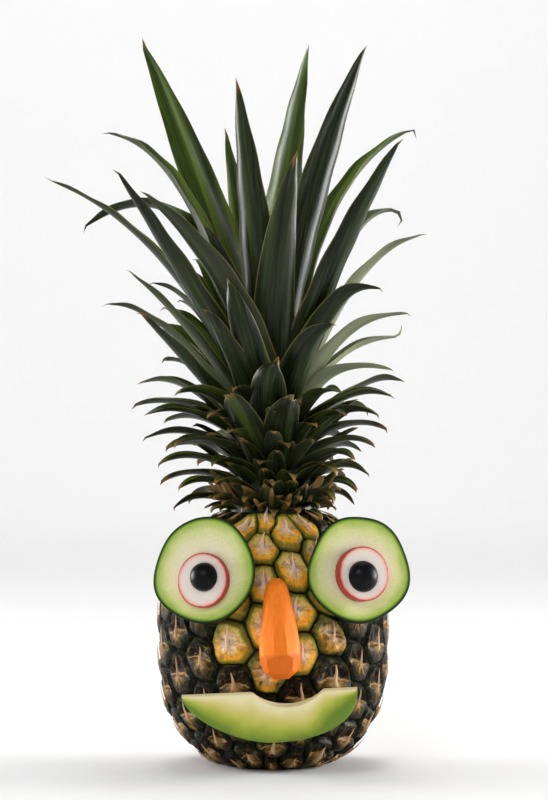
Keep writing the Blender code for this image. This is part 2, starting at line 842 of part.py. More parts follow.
def avocado_outline():
    """The back of the slice: straight on top but for the stone's hollow, and bowed below."""
    points = []
    for i in range(AVOCADO_OUTLINE_STEPS + 1):
        angle = math.pi * i / AVOCADO_OUTLINE_STEPS
        power = AVOCADO_LEFT_POWER if math.cos(angle) > 0 else AVOCADO_RIGHT_POWER
        across = math.copysign(abs(math.cos(angle)) ** (2 / power), -math.cos(angle))
        drop = math.sin(angle) ** (2 / power)
        points.append(Vector((across * AVOCADO_LENGTH / 2, -drop * AVOCADO_DROP, 0)))
    for i in range(STONE_HOLLOW_STEPS + 1):
        share = 1 - 2 * i / STONE_HOLLOW_STEPS
        across = STONE_HOLLOW_X + STONE_HOLLOW_HALF_WIDTH * share
        drop = -STONE_HOLLOW_DEPTH * (1 - share**2) ** STONE_HOLLOW_FULLNESS
        points.append(Vector((across, drop, 0)))
    return points


def build_mouth(seat, finishes, fruit):
    """The avocado slice, thicker towards the skin, as a wedge turned about a line above it."""
    bm = bmesh.new()
    outline = [bm.verts.new(point) for point in avocado_outline()]
    edges = [bm.edges.new(pair) for pair in zip(outline, outline[1:] + outline[:1])]
    bmesh.ops.spin(
        bm,
        geom=outline + edges,
        cent=(0, AVOCADO_TOP_THICKNESS / AVOCADO_WEDGE, 0),
        axis=(1, 0, 0),
        angle=-AVOCADO_WEDGE,
        steps=AVOCADO_SPIN_STEPS,
    )
    bmesh.ops.holes_fill(bm, edges=[e for e in bm.edges if e.is_boundary], sides=0)
    middle = Matrix.Translation((0, AVOCADO_DROP / 2, 0))
    mouth = object_from(bm, "avocado_mouth", finishes["avocado"], seat.place @ middle)
    for side, sign in (("left", -1), ("right", 1)):
        inside = (sign * MOUTH_STICK_SPREAD, -MOUTH_STICK_DROP, STICK_IN_MOUTH)
        stick = cocktail_stick(
            f"{side}_mouth_stick",
            SHORT_STICK_LENGTH,
            finishes["stick"],
            mouth.matrix_world @ Matrix.Translation(inside),
        )
        for target in (mouth, fruit):
            cut_hole(target, stick)


def main():
    for obj in list(bpy.data.objects):
        bpy.data.objects.remove(obj)
    finishes = {
        "skin": material("pineapple_skin", (0.20, 0.15, 0.05), 0.5),
        "leaf": material("pineapple_leaf", (0.05, 0.09, 0.03), 0.45),
        "cucumber": material("cucumber_flesh", (0.62, 0.68, 0.36), 0.3),
        "radish": material("radish_flesh", (0.80, 0.70, 0.66), 0.3),
        "olive": material("olive_skin", (0.02, 0.02, 0.025), 0.25),
        "carrot": material("peeled_carrot", (0.85, 0.25, 0.04), 0.4),
        "avocado": material("avocado_flesh", (0.55, 0.62, 0.20), 0.4),
        "stick": material("birch_stick", (0.70, 0.55, 0.35), 0.7),
    }
    fruitlets = Fruitlets()
    rims = fruitlets.rim_points()
    eye_seats = {
        side: Seat(
            rims, eye["x"], EYE_HEIGHT, eye["turn"], EYE_TILT, CUCUMBER_RADIUS, CUCUMBER_RADIUS
        )
        for side, eye in EYES.items()
    }
    carrot_half = CARROT_STATIONS[-1][0] * MM / 2
    nose_seat = Seat(
        rims, CARROT_X, CARROT_BOTTOM + carrot_half, 0, 0, CARROT_WIDEST, carrot_half, -CARROT_LEAN
    )
    mouth_seat = Seat(
        rims,
        AVOCADO_X,
        AVOCADO_TOP - AVOCADO_DROP / 2 * math.cos(AVOCADO_WEDGE),
        0,
        -math.degrees(AVOCADO_WEDGE),
        AVOCADO_LENGTH / 2,
        AVOCADO_DROP / 2,
        AVOCADO_ROLL,
    )
    seats = [*eye_seats.values(), nose_seat, mouth_seat]
    fruit = build_fruit(fruitlets, finishes["skin"], seats)
    build_crown(finishes["leaf"])
    for side, seat in eye_seats.items():
        build_eye(side, seat, finishes, fruit)
    build_nose(nose_seat, finishes, fruit)
    build_mouth(mouth_seat, finishes, fruit)


main()
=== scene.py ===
"""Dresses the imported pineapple, with its face of cut vegetables, and sets it in a plain studio.

Metres, +Z up. The face looks along -Y. Left and right are the viewer's, looking at the face.
An azimuth is in degrees round the fruit's axis: 0 is the front, 90 is the viewer's right.
"""

import math
import random
from bisect import bisect_right
from functools import partial

import bmesh
import bpy
from bpy.props import FloatProperty, FloatVectorProperty, PointerProperty
from mathutils import Matrix, Vector, noise


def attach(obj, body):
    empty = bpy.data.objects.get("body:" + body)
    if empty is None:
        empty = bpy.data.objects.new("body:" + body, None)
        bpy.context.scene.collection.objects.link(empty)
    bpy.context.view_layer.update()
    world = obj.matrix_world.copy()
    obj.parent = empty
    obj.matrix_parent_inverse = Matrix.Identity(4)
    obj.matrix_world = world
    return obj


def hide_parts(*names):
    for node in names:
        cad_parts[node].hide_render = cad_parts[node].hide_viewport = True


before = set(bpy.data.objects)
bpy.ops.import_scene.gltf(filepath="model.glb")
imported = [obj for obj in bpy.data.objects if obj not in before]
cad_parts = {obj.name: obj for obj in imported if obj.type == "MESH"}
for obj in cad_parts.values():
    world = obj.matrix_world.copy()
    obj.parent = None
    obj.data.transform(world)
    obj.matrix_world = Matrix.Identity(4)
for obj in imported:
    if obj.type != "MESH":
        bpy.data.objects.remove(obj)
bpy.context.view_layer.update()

bl_info = {
    "name": "Pineapple face",
    "version": (1, 0, 0),
    "blender": (4, 5, 0),
    "location": "3D View > Sidebar > Pineapple",
    "description": "Skin, leaves and cut vegetables for a pineapple with a face",
    "category": "Object",
}

MM = 0.001
GAP = 0.3 * MM
MERGE = 0.001 * MM
BODY = "root"

# Fruit: the barrel and the spiral lattice of fruitlets
FRUIT_RADIUS = 59.5 * MM
FRUIT_HEIGHT = 131 * MM
WIDEST_HEIGHT = 66 * MM
LOWER_REACH = 69 * MM
UPPER_REACH = 67.5 * MM
BARREL_POWER = 2.6
PROFILE_STEPS = 400
STEP_RIGHT = 8
STEP_LEFT = 13
STEP_UP = 21
DIVERGENCE = 0.3808
FRUITLET_RISE = 1.07 * MM
FRUITLET_SHRINK = 0.6
FIRST_FRUITLET_SHARE = 0.32
LAST_FRUITLET_SHARE = 0.30
HEIGHT_VARIATION = 0.35 * MM
RIM_SHARE = 0.80
BASIN_SHARE = 0.46
BASIN_DEPTH = 1.5 * MM
BRACT_BULGE = 0.5 * MM
WALL_POWER = 1.6
LOBE_SIDE = 0.5
LOBE_WIDTH = 0.26
FOLDS = 9
FAN_END = 0.45
FAN_DROOP = 0.34
BRACT_SINK = 1.1
SPINE_STAND = 2.0 * MM
SPINE_LEAST = 0.4
FLOOR_CLEARANCE = 0.4 * MM
CORNER_ROUNDING = 0.07
BACK_RIPENESS = 0.6
RIPENESS_VARIATION = 0.35
SEED = 11

# Noise that shifts the fruitlets' places, and noise that wrinkles them: how many of its
# waves there are in a metre, and how far it moves the skin
WARPS = ((55, 2.8 * MM), (170, 0.9 * MM))
WRINKLES = ((420, 0.22 * MM), (1300, 0.10 * MM))
OTHER_NOISE = Vector((7.3, 1.9, 4.4))

# Crown: the stem and the rules of its leaves
STEM_BASE_RADIUS = 23.5 * MM
STEM_TOP_RADIUS = 6 * MM
STEM_TOP_HEIGHT = 205 * MM
ROOT_SINK = 3.5 * MM
LEAF_FULLNESS = 2.5
LEAF_TAPER = 0.9
LEAF_NECK = 0.2
LEAF_NECK_SHARE = 0.25
LEAF_TIP_SHARE = 0.08
TWIST_SHARE = 0.8
CHANNEL_POWER = 2.3
MARGIN_THINNING = 0.7
DRYNESS_LEAST = 0.25
GOLDEN_ANGLE = 137.508

# Long leaves, in millimetres: root height, halfway point, tip, width
# A point is how far it lies to the viewer's right, to the back, and above the base
LONG_LEAVES = (
    (185, (-34, 35, 285), (-72, 60, 384.5), 26),
    (178, (-44, 12, 290), (-90, 22, 330), 17),
    (192, (-11, -30, 272), (-19, -34, 353), 23),
    (190, (-16, 48, 268), (-26, 58, 336), 16),
    (188, (3, 46, 293), (19, 52, 380), 25),
    (188, (19, -14, 282), (48, -8, 373), 24),
    (186, (2, -38, 252), (12, -42, 315), 23),
    (182, (28, 25, 281), (72, 42, 333), 18),
    (184, (33, -30, 257), (65, -42, 322), 21),
    (180, (35, 18, 263), (63, 24, 289), 15),
    (174, (41, -15, 246), (78, -22, 274), 15),
    (182, (-44, -34, 247), (-80, -50, 306), 20),
    (178, (-59, 5, 262), (-120, 10, 305), 16),
    (184, (-46, 26, 281), (-104, 42, 279), 22),
    (182, (-24, -36, 243), (-67, -48, 295), 22),
    (186, (-22, -24, 242), (-36, -26, 279), 20),
    (176, (-14, -42, 219), (-23, -46, 250), 18),
    (171, (-22, -36, 211), (-35, -46, 235), 18),
    (174, (-43, -14, 223), (-75, -24, 256), 16),
    (172, (-54, 4, 224), (-88, 6, 239), 14),
    (167, (-43, -28, 206), (-68, -40, 234), 16),
    (174, (-37, 18, 231), (-65, 24, 251), 13),
    (172, (29, -26, 232), (56, -32, 245), 19),
    (170, (15, -42, 211), (31, -54, 227), 19),
    (167, (34, -20, 218), (71, -26, 233), 15),
    (163, (29, 4, 205), (63, 6, 222), 15),
    (160, (27, -14, 199), (63, -20, 204), 17),
    (163, (-3, -44, 194), (2, -48, 209), 21),
    (157, (6, -44, 181), (9, -52, 190), 19),
    (155, (-17, -42, 181), (-24, -50, 191), 17),
)

# Tips that turn over: the leaf's place in the list above, the length in millimetres, the turn
HOOKED_TIPS = {
    0: (5, -35),
    2: (3, 20),
    4: (3, 20),
    7: (9, 135),
    9: (12, 140),
    12: (4, -25),
    25: (9, -110),
}
HOOK_LENGTHS = (2, 4.5)
HOOK_TURNS = (10, 85)
TURNED_OVER = 90

# Blades that are turned about their own length, towards the front, in degrees
TURNED_LEAVES = {0: -34, 4: 42, 5: -30}

# Leaves on the right whose grey bloom is heavy, partly painted light from that side, and how heavy
# it is, with the most that the others have
BLOOMED_AND_LIT_LEAVES = {9: 0.5, 10: 1.0, 24: 0.9, 25: 1.0, 26: 0.8}
LIGHT_BLOOM = 0.15

# The rest of the leaves, each kind up a spiral of its own: the grid of a blade, how dry the tips
# are, then how they grow. A pair holds the lowest leaf's measure, in millimetres, and the
# highest one's. The ruff's leaves are steeper and shorter in front, and longer to the left.
SPIRALS = (
    # The long leaves of the far side
    (12, 24, 0.4, {
        "seed": 1, "count": 15, "root": (160, 186), "reach": (74, 86), "tip_rise": (36, 122),
        "arch": (14, 18), "width": (15, 21), "sector": (110, 252), "swing": 0, "vary": (9, 9, 0),
    }),
    # The ruff, low on the crown
    (12, 18, 0.5, {
        "seed": 0, "count": 54, "root": (133, 170), "reach": (47, 69), "tip_rise": (-4, 19),
        "arch": (5, 10), "width": (12, 16), "front_loss": 0.22, "front_lift": 15, "shift": 5.5,
    }),
    # Small leaves in the ruff's gaps, over the fruit's shoulder, and in the crown's heart
    (10, 12, 0.4, {
        "seed": 4, "count": 46, "root": (131.3, 162), "reach": (33, 46), "tip_rise": (8, 26),
        "arch": (1, 4), "width": (9, 12),
    }),
    (10, 12, 0.4, {
        "seed": 6, "count": 34, "root": (131.2, 134), "reach": (30, 37), "tip_rise": (-3, 8),
        "arch": (1, 3), "width": (7, 9),
    }),
    (10, 12, 0.4, {
        "seed": 7, "count": 11, "root": (193, 204), "reach": (20, 7), "tip_rise": (38, 40),
        "arch": (1, 0), "width": (11, 8),
    }),
    # The collar that hides where the crown meets the fruit
    (10, 12, 0.7, {
        "seed": 2, "count": 12, "root": (132.6, 132.6), "reach": (31, 31), "tip_rise": (15, 15),
        "arch": (1, 1), "width": (12, 12), "turn": 360 / 12, "vary": (1, 3, 0),
    }),
    # Dry, narrow bracts round the crown's foot
    (8, 10, 9.0, {
        "seed": 5, "count": 22, "root": (130.8, 130.8), "reach": (32, 32), "tip_rise": (15, 15),
        "arch": (1, 1), "width": (3.75, 3.75), "turn": 360 / 22, "vary": (5, 9, 1.25),
    }),
)

# Face: where the middle of each piece's back lies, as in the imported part
EYES = {
    "left": {
        "x": -34.9 * MM,
        "turn": -24,
        "radish_place": (4.55 * MM, -5.6 * MM),
        "radish_thickness": 3 * MM,
        "olive_place": (5.65 * MM, -4.0 * MM),
        "olive_radius": 7.3 * MM,
        "lobe_phase": 0.4,
        "dents": ((152, 0.1, 60), (-40, -0.045, 50)),
        "front_shift": 2.8 * MM,
        "front_widening": 0.065,
    },
    "right": {
        "x": 43.3 * MM,
        "turn": 24,
        "radish_place": (-3.6 * MM, -2.8 * MM),
        "radish_thickness": 5 * MM,
        "olive_place": (-4.6 * MM, -4.2 * MM),
        "olive_radius": 7.9 * MM,
        "lobe_phase": 2.1,
        "dents": ((148, 0.05, 50), (25, 0.04, 45), (-145, -0.03, 45)),
        "front_shift": -3.7 * MM,
        "front_widening": 0.08,
    },
}
EYE_HEIGHT = 103 * MM
EYE_TILT = 8
CUCUMBER_RADIUS = 26.8 * MM
CUCUMBER_THICKNESS = 8 * MM
CUCUMBER_LOBES = 5
CUCUMBER_LOBE_SHARE = 0.016
FLESH_SINK = 0.2 * MM
FLESH_UNEVENNESS = 0.18 * MM
FLESH_SCALE = 90
RADISH_RADIUS = 13.8 * MM
OLIVE_HEIGHT = 6.5 * MM
OLIVE_DENT = 0.02
OLIVE_DENT_SCALE = 160
CARROT_X = 2.6 * MM
CARROT_BOTTOM = 50 * MM
CARROT_LEAN = -3
CARROT_STAND_SHARE = 0.5
CARROT_WIDEST = 10.2 * MM
# Stations: the height above the carrot's lower end, and its half-width there
CARROT_STATIONS = (
    (0.0, 4.0),
    (3.6, 8.0),
    (7.5, 9.7),
    (12.5, 10.2),
    (23.0, 9.5),
    (32.0, 8.1),
    (38.5, 7.0),
    (43.5, 6.0),
    (47.5, 4.6),
    (50.0, 2.0),
)
CARROT_LENGTH = CARROT_STATIONS[-1][0] * MM
# Cuts: the angle round the carrot, the height and slope of the cut there, and its depth
CARROT_CUTS = (
    (14, 25, 7, 0.35),
    (52, 25, 7, 0.5),
    (88, 25, 6.5, 0.45),
    (124, 26, 7, 0.5),
    (163, 25, 7, 0.35),
    (30, 10, -17, 0.6),
    (72, 10.5, -20, 0.7),
    (112, 9.5, -22, 0.8),
    (152, 10, -17, 0.6),
)
AVOCADO_LENGTH = 87.5 * MM
AVOCADO_DROP = 25 * MM
AVOCADO_LEFT_POWER = 1.6
AVOCADO_RIGHT_POWER = 2.3
AVOCADO_TOP = 44.3 * MM
AVOCADO_X = -1.3 * MM
AVOCADO_ROLL = 3
STONE_HOLLOW_X = 9 * MM
STONE_HOLLOW_HALF_WIDTH = 17.5 * MM
STONE_HOLLOW_DEPTH = 7.3 * MM
STONE_HOLLOW_FULLNESS = 0.8
AVOCADO_TOP_THICKNESS = 5 * MM
AVOCADO_BOTTOM_THICKNESS = 15 * MM
AVOCADO_WEDGE = (AVOCADO_BOTTOM_THICKNESS - AVOCADO_TOP_THICKNESS) / AVOCADO_DROP


# Small tools


def colour(code):
    """The linear colour of an sRGB hex code."""
    channels = [int(code[i : i + 2], 16) / 255 for i in (1, 3, 5)]
    linear = [c / 12.92 if c <= 0.04045 else ((c + 0.055) / 1.055) ** 2.4 for c in channels]
    return (*linear, 1.0)


def direction(azimuth, elevation=0.0):
    """The unit vector at this azimuth and this angle above the horizon, in degrees."""
    turn, rise = math.radians(azimuth), math.radians(elevation)
    return Vector(
        (math.sin(turn) * math.cos(rise), -math.cos(turn) * math.cos(rise), math.sin(rise))
    )


def between(pair, share):
    return pair[0] + (pair[1] - pair[0]) * share


def eased(low, high, value):
    """0 at or below low, 1 at or above high, and a smooth step between them."""
    share = min(max((value - low) / (high - low), 0.0), 1.0)
    return share * share * (3 - 2 * share)


def per(size):
    """The scale of a pattern whose features lie this many millimetres apart."""
    return 1 / (size * MM)


def fill(socket, value):
    """Links the socket to a node's output, or gives it a number, a vector or a hex colour."""
    if isinstance(value, bpy.types.NodeSocket):
        socket.id_data.links.new(value, socket)
    else:
        socket.default_value = colour(value) if isinstance(value, str) else value


def add_node(tree, kind, *values, output=None, stops=None, sockets=None, **settings):
    """Adds a shader node and returns one of its outputs, the first unless another is named.

    The values go to the sockets that the node shows, in order, and those in sockets by name.
    """
    made = tree.nodes.new(f"ShaderNode{kind}")
    if kind == "Mix":
        made.data_type = "RGBA"
    for name, value in settings.items():
        setattr(made, name, value)
    if stops:
        elements = made.color_ramp.elements
        while len(elements) < len(stops):
            elements.new(1.0)
        for element, (position, code) in zip(elements, stops):
            element.position, element.color = position, colour(code)
    shown = [socket for socket in made.inputs if socket.enabled]
    for socket, value in zip(shown, values):
        fill(socket, value)
    for name, value in (sockets or {}).items():
        fill(made.inputs[name], value)
    wanted = output or {"Attribute": "Fac", "TexCoord": "Object"}.get(kind)
    return next(s for s in made.outputs if s.name == wanted or s.enabled and not wanted)


def new_material(name):
    """A material with only its shader, and the function that adds nodes to it."""
    made = bpy.data.materials.new(name)
    made.use_nodes = True
    return made, partial(add_node, made.node_tree)


def dressed(made, *values):
    """The material, once its shader has its colour, roughness, shine and normal, in this order."""
    shader = made.node_tree.nodes["Principled BSDF"]
    for name, value in zip(("Base Color", "Roughness", "Specular IOR Level", "Normal"), values):
        fill(shader.inputs[name], value)
    return made


def length(name, description, default):
    return FloatProperty(name=name, description=description, default=default, unit="LENGTH")


def factor(name, description, default):
    return FloatProperty(name=name, description=description, default=default, subtype="FACTOR")


def degrees(name, description, default):
    return FloatProperty(name=name, description=description + ", in degrees", default=default)


def new_bmesh(*layers):
    """A bmesh whose points carry these named numbers."""
    bm = bmesh.new()
    for name in layers:
        bm.verts.layers.float.new(name)
    return bm


def shaped_grid(bm, across, along, shape):
    """Adds a grid and moves each of its points to where the shape puts it.

    The shape takes the point's shares across and along the grid. It gives the place, and the
    numbers for the bmesh's layers.
    """
    layers = bm.verts.layers.float
    points = bmesh.ops.create_grid(bm, x_segments=across, y_segments=along, size=1)["verts"]
    for point in points:
        point.co, values = shape((point.co.x + 1) / 2, (point.co.y + 1) / 2)
        for name, value in values.items():
            point[layers[name]] = value


def close_ends(bm):
    """Fills the open rings that are left once the doubles are merged."""
    bmesh.ops.remove_doubles(bm, verts=bm.verts, dist=MERGE)
    bmesh.ops.holes_fill(bm, edges=[e for e in bm.edges if e.is_boundary], sides=0)


def cut_off(bm, point, outward):
    """Takes away what lies outward of the point, and leaves the cut open."""
    bmesh.ops.bisect_plane(
        bm,
        geom=[*bm.verts, *bm.edges, *bm.faces],
        plane_co=point,
        plane_no=outward,
        clear_outer=True,
    )


def piece_from(bm, name, material, node, sharp=40):
    """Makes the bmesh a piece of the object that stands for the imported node."""
    bmesh.ops.recalc_face_normals(bm, faces=bm.faces)
    mesh = bpy.data.meshes.new(name)
    bm.to_mesh(mesh)
    bm.free()
    mesh.shade_smooth()
    mesh.set_sharp_from_angle(angle=math.radians(sharp))
    mesh.materials.append(material)
    piece = bpy.data.objects.new(name, mesh)
    bpy.context.scene.collection.objects.link(piece)
    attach(piece, BODY)
    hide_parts(node)


# Where the pieces of the face are laid


class Seat:
    """The plane of a piece's back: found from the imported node, which lies on it."""

    def __init__(self, node, x, height, turn, tilt, half_width, half_height, roll=0.0):
        normal = direction(turn, tilt)
        side = direction(turn + 90)
        self.half_width, self.half_height = half_width, half_height
        back = min(normal.dot(vert.co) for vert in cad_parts[node].data.vertices)
        y = (back - normal.x * x - normal.z * height) / normal.y
        axes = Matrix((side, normal.cross(side), normal)).transposed().to_4x4()
        roll = Matrix.Rotation(math.radians(roll), 4, "Z")
        self.place = Matrix.Translation((x, y, height)) @ axes @ roll
        self.inverse = self.place.inverted()

    def pressed(self, point):
        """The point, pressed back to the seat's plane where the piece covers it."""
        local = self.inverse @ point
        covered = (local.x / self.half_width) ** 2 + (local.y / self.half_height) ** 2 < 1
        if point.y > 0 or local.z < 0 or not covered:
            return point
        local.z = -GAP / 2
        return self.place @ local


EYE_SEATS = {
    side: Seat(
        f"{side}_cucumber_slice",
        eye["x"],
        EYE_HEIGHT,
        eye["turn"],
        EYE_TILT,
        CUCUMBER_RADIUS,
        CUCUMBER_RADIUS,
    )
    for side, eye in EYES.items()
}
NOSE_SEAT = Seat(
    "carrot_nose",
    CARROT_X,
    CARROT_BOTTOM + CARROT_LENGTH / 2,
    0,
    0,
    CARROT_WIDEST,
    CARROT_LENGTH / 2,
    -CARROT_LEAN,
)
MOUTH_SEAT = Seat(
    "avocado_mouth",
    AVOCADO_X,
    AVOCADO_TOP - AVOCADO_DROP / 2 * math.cos(AVOCADO_WEDGE),
    0,
    -math.degrees(AVOCADO_WEDGE),
    AVOCADO_LENGTH / 2,
    AVOCADO_DROP / 2,
    AVOCADO_ROLL,
)
SEATS = (*EYE_SEATS.values(), NOSE_SEAT, MOUTH_SEAT)


# Fruit


def barrel_points():
    """The side of the barrel from its base to its top, as (arc length, radius, height)."""
    low = -math.asin((WIDEST_HEIGHT / LOWER_REACH) ** (BARREL_POWER / 2))
    high = math.asin(((FRUIT_HEIGHT - WIDEST_HEIGHT) / UPPER_REACH) ** (BARREL_POWER / 2))
    points = []
    along = 0.0
    for step in range(PROFILE_STEPS + 1):
        angle = low + (high - low) * step / PROFILE_STEPS
        reach = UPPER_REACH if angle > 0 else LOWER_REACH
        radius = FRUIT_RADIUS * math.cos(angle) ** (2 / BARREL_POWER)
        rise = math.copysign(abs(math.sin(angle)) ** (2 / BARREL_POWER), angle)
        height = WIDEST_HEIGHT + reach * rise
        if points:
            along += math.hypot(radius - points[-1][1], height - points[-1][2])
        points.append((along, radius, height))
    return points


BARREL = barrel_points()
BARREL_ARCS = [point[0] for point in BARREL]
BARREL_LENGTH = BARREL_ARCS[-1]


def on_barrel(along):
    """Radius, height, and outward normal (radial, up) of the barrel's side at this arc length."""
    along = min(max(along, 0.0), BARREL_LENGTH)
    after = min(bisect_right(BARREL_ARCS, along), PROFILE_STEPS)
    (start, inner, low), (end, outer, high) = BARREL[after - 1], BARREL[after]
    span = end - start
    share = (along - start) / span
    radius, height = between((inner, outer), share), between((low, high), share)
    return radius, height, (high - low) / span, (inner - outer) / span


def fruit_point(turn, along, raised):
    """The point on the fruit at this angle (radians) and arc length, raised along the normal."""
    radius, height, across, up = on_barrel(along)
    out = radius + across * raised
    above = max(0.0, along - BARREL_LENGTH)
    return Vector((math.sin(turn) * out, -math.cos(turn) * out, height + up * raised + above))


def fruitlet_lengths():
    """Arc length of each fruitlet up the side: their spacing shrinks with the radius."""
    height = FRUITLET_RISE * STEP_UP
    lengths = [height * FIRST_FRUITLET_SHARE]
    while lengths[-1] < BARREL_LENGTH - height * LAST_FRUITLET_SHARE:
        radius = on_barrel(lengths[-1])[0]
        lengths.append(lengths[-1] + FRUITLET_RISE * (radius / FRUIT_RADIUS) ** FRUITLET_SHRINK)
    return lengths


def part_turn(steps):
    """The angle in radians from one fruitlet to the one so many places on, the short way."""
    share = (steps * DIVERGENCE) % 1.0
    return (share - 1 if share > 0.5 else share) * math.tau


LENGTHS = fruitlet_lengths()


class Fruitlet:
    """One fruitlet of the spiral: its six corners, its middle and what sets it apart."""

    def __init__(self, place, raised, draw, settings):
        self.place = place
        self.raised = raised
        self.draw = draw
        self.settings = settings
        self.own_turn = place * DIVERGENCE * math.tau
        self.corners = [
            self.corner(place, STEP_RIGHT),
            self.corner(place - STEP_LEFT, STEP_LEFT),
            self.corner(place - STEP_UP, STEP_RIGHT),
            self.corner(place - STEP_UP, STEP_LEFT),
            self.corner(place - STEP_RIGHT, STEP_RIGHT),
            self.corner(place, STEP_LEFT),
        ]
        self.turn = sum(corner[0] for corner in self.corners) / 6
        self.along = sum(corner[1] for corner in self.corners) / 6
        self.half_width = (
            max(abs(corner[0] - self.turn) for corner in self.corners) * on_barrel(self.along)[0]
        )
        self.drop = self.along - min(corner[1] for corner in self.corners)
        self.rise = max(corner[1] for corner in self.corners) - self.along
        azimuth = (math.degrees(self.turn) + 180) % 360 - 180
        height = on_barrel(self.along)[1]
        # Ripeness with painted light: golden at the front and top, dark at the sides and bottom
        self.ripeness = settings.ripe_and_lit_at(azimuth, height, draw)

    @staticmethod
    def arc(place):
        """Arc length of a place in the spiral, carried on past both ends."""
        if place < 0:
            return LENGTHS[0] + place * FRUITLET_RISE
        if place >= len(LENGTHS):
            return LENGTHS[-1] + (place - len(LENGTHS) + 1) * FRUITLET_RISE
        return LENGTHS[place]

    def corner(self, place, side_step):
        """Angle, arc length and depth of the corner that a place shares with two others."""
        turn = place * DIVERGENCE * math.tau + (part_turn(side_step) + part_turn(STEP_UP)) / 3
        turn = self.own_turn + (turn - self.own_turn + math.pi) % math.tau - math.pi
        places = (place, place + side_step, place + STEP_UP)
        if all(0 <= p < len(LENGTHS) for p in places):
            return turn, sum(self.arc(p) for p in places) / 3, self.settings.groove_depth
        return turn, 0.0 if place < 0 else BARREL_LENGTH, 0.0

    def skin(self, around, inward):
        """The skin at a share round the fruitlet, and a share from its groove to its middle."""
        step, part = divmod(around * 6, 1)
        first, second = self.corners[int(step) % 6], self.corners[(int(step) + 1) % 6]
        turn = first[0] + (second[0] - first[0]) * part
        along = first[1] + (second[1] - first[1]) * part
        depth = first[2] + (second[2] - first[2]) * part
        share = 1 - inward
        rounded = min(1.0, share * (1 + CORNER_ROUNDING * (2 * part - 1) ** 2))
        up = (along - self.along) / (self.rise if along > self.along else self.drop)
        side = (turn - self.turn) * on_barrel(self.along)[0] / self.half_width
        turn = self.turn + (turn - self.turn) * share
        along = self.along + (along - self.along) * share
        raised = self.relief(rounded, up, side)
        wall = min(max((rounded - RIM_SHARE) / (1 - RIM_SHARE), 0.0), 1.0) ** WALL_POWER
        raised += (-depth - raised) * wall
        turn, along = warped(turn, along)
        point = fruit_point(turn, along, raised)
        if share < 1:
            wrinkle = sum(noise.noise(point * scale) * size for scale, size in WRINKLES)
            point = fruit_point(turn, along, raised + wrinkle * (1 - wall))
            point.z = max(point.z, FLOOR_CLEARANCE)
        elif depth < GAP:
            point.z = 0.0 if along < BARREL_LENGTH / 2 else FRUIT_HEIGHT
        values = {
            "share": rounded,
            "up": up * share,
            "side": side * share,
            "ripeness": self.ripeness,
            "draw": self.draw,
        }
        return pressed(point), values

    def relief(self, share, up, side):
        """Height over the barrel: a dish with two lobes above the bract, and folds under it."""
        inner = eased(RIM_SHARE, BASIN_SHARE, share)
        upper = eased(-0.3, 0.25, up)
        lobes = math.exp(-(((abs(side) - LOBE_SIDE) / LOBE_WIDTH) ** 2))
        lobes *= eased(0.1, 0.5, up * share)
        dish = -BASIN_DEPTH * (1.35 - 0.9 * lobes)
        fold = math.sin(math.atan2(side, -up) * FOLDS + self.draw * 20)
        fold *= self.settings.fold_height
        below = BRACT_BULGE + fold * eased(0.15, 0.5, share)
        return self.raised + inner * (upper * dish + (1 - upper) * below)

    def bract(self, around, ahead):
        """The dry bract: a fan over the lower half that narrows to a spine above the middle."""
        settings = self.settings
        angle = math.tau * around
        across, face = math.cos(angle), math.sin(angle)
        foot = self.drop * settings.fan_reach
        spine = max(0.0, ahead - FAN_END) / (1 - FAN_END)
        fan = max(0.0, FAN_END - ahead) / FAN_END
        thin = settings.spine_width / 2 * (1 - spine) ** 0.8
        ragged = noise.noise(Vector((across * 6, ahead * 5, self.place * 3.7)))
        spread = self.half_width * settings.fan_spread * (1 - 0.45 * self.ripeness)
        width = thin + (spread - thin) * fan**1.3
        width *= (0.5 + 0.5 * eased(0, 0.3, ahead)) * (1 + 0.6 * ragged * fan)
        along = self.along - foot * fan * (1 + 0.5 * ragged) + settings.spine_length * spine
        droop = across**2 * self.drop * FAN_DROOP * (1 - abs(1 - 2 * fan)) * (1 - spine)
        lift = 0.1 + 0.5 * (1 - abs(across)) ** 1.5 + 0.3 * ragged
        sink = 1 - eased(0.0, 0.3, ahead)
        raised = self.raised + BRACT_BULGE + (lift * (1 - spine) - BRACT_SINK * sink) * MM
        stand = SPINE_STAND * (SPINE_LEAST + (1 - SPINE_LEAST) * self.ripeness)
        raised += (stand - BRACT_BULGE) * spine**1.25
        raised += face * settings.bract_thickness * (1 - spine**3) / 2
        turn = self.turn + across * width / on_barrel(along)[0]
        turn += (self.draw - 0.5) * settings.lean * spine**2 / FRUIT_RADIUS
        along += -droop + settings.lean * spine**2 * (self.draw * 7 % 1 - 0.5)
        turn, along = warped(turn, along)
        point = fruit_point(turn, along, raised)
        point.z = max(point.z, FLOOR_CLEARANCE)
        values = {
            "across": across,
            "ahead": ahead,
            "ripeness": self.ripeness,
            "draw": self.draw,
        }
        return pressed(point), values


def warped(turn, along):
    """A place on the fruit, moved a little so that the rows of fruitlets aren't quite even."""
    radius = on_barrel(along)[0]
    fade = eased(0, 12 * MM, along) * eased(0, 12 * MM, BARREL_LENGTH - along)
    here = Vector((math.sin(turn) * radius, -math.cos(turn) * radius, along))
    across = up = 0.0
    for scale, size in WARPS:
        across += noise.noise(here * scale) * size
        up += noise.noise(here * scale + OTHER_NOISE) * size
    return turn + across * fade / radius, along + up * fade


def pressed(point):
    """The point, pressed behind the pieces of the face."""
    for seat in SEATS:
        point = seat.pressed(point)
    return point


FIBRE_TONES = ((0.3, "#7c5228"), (0.42, "#d8b488"), (0.52, "#fffaf2"))


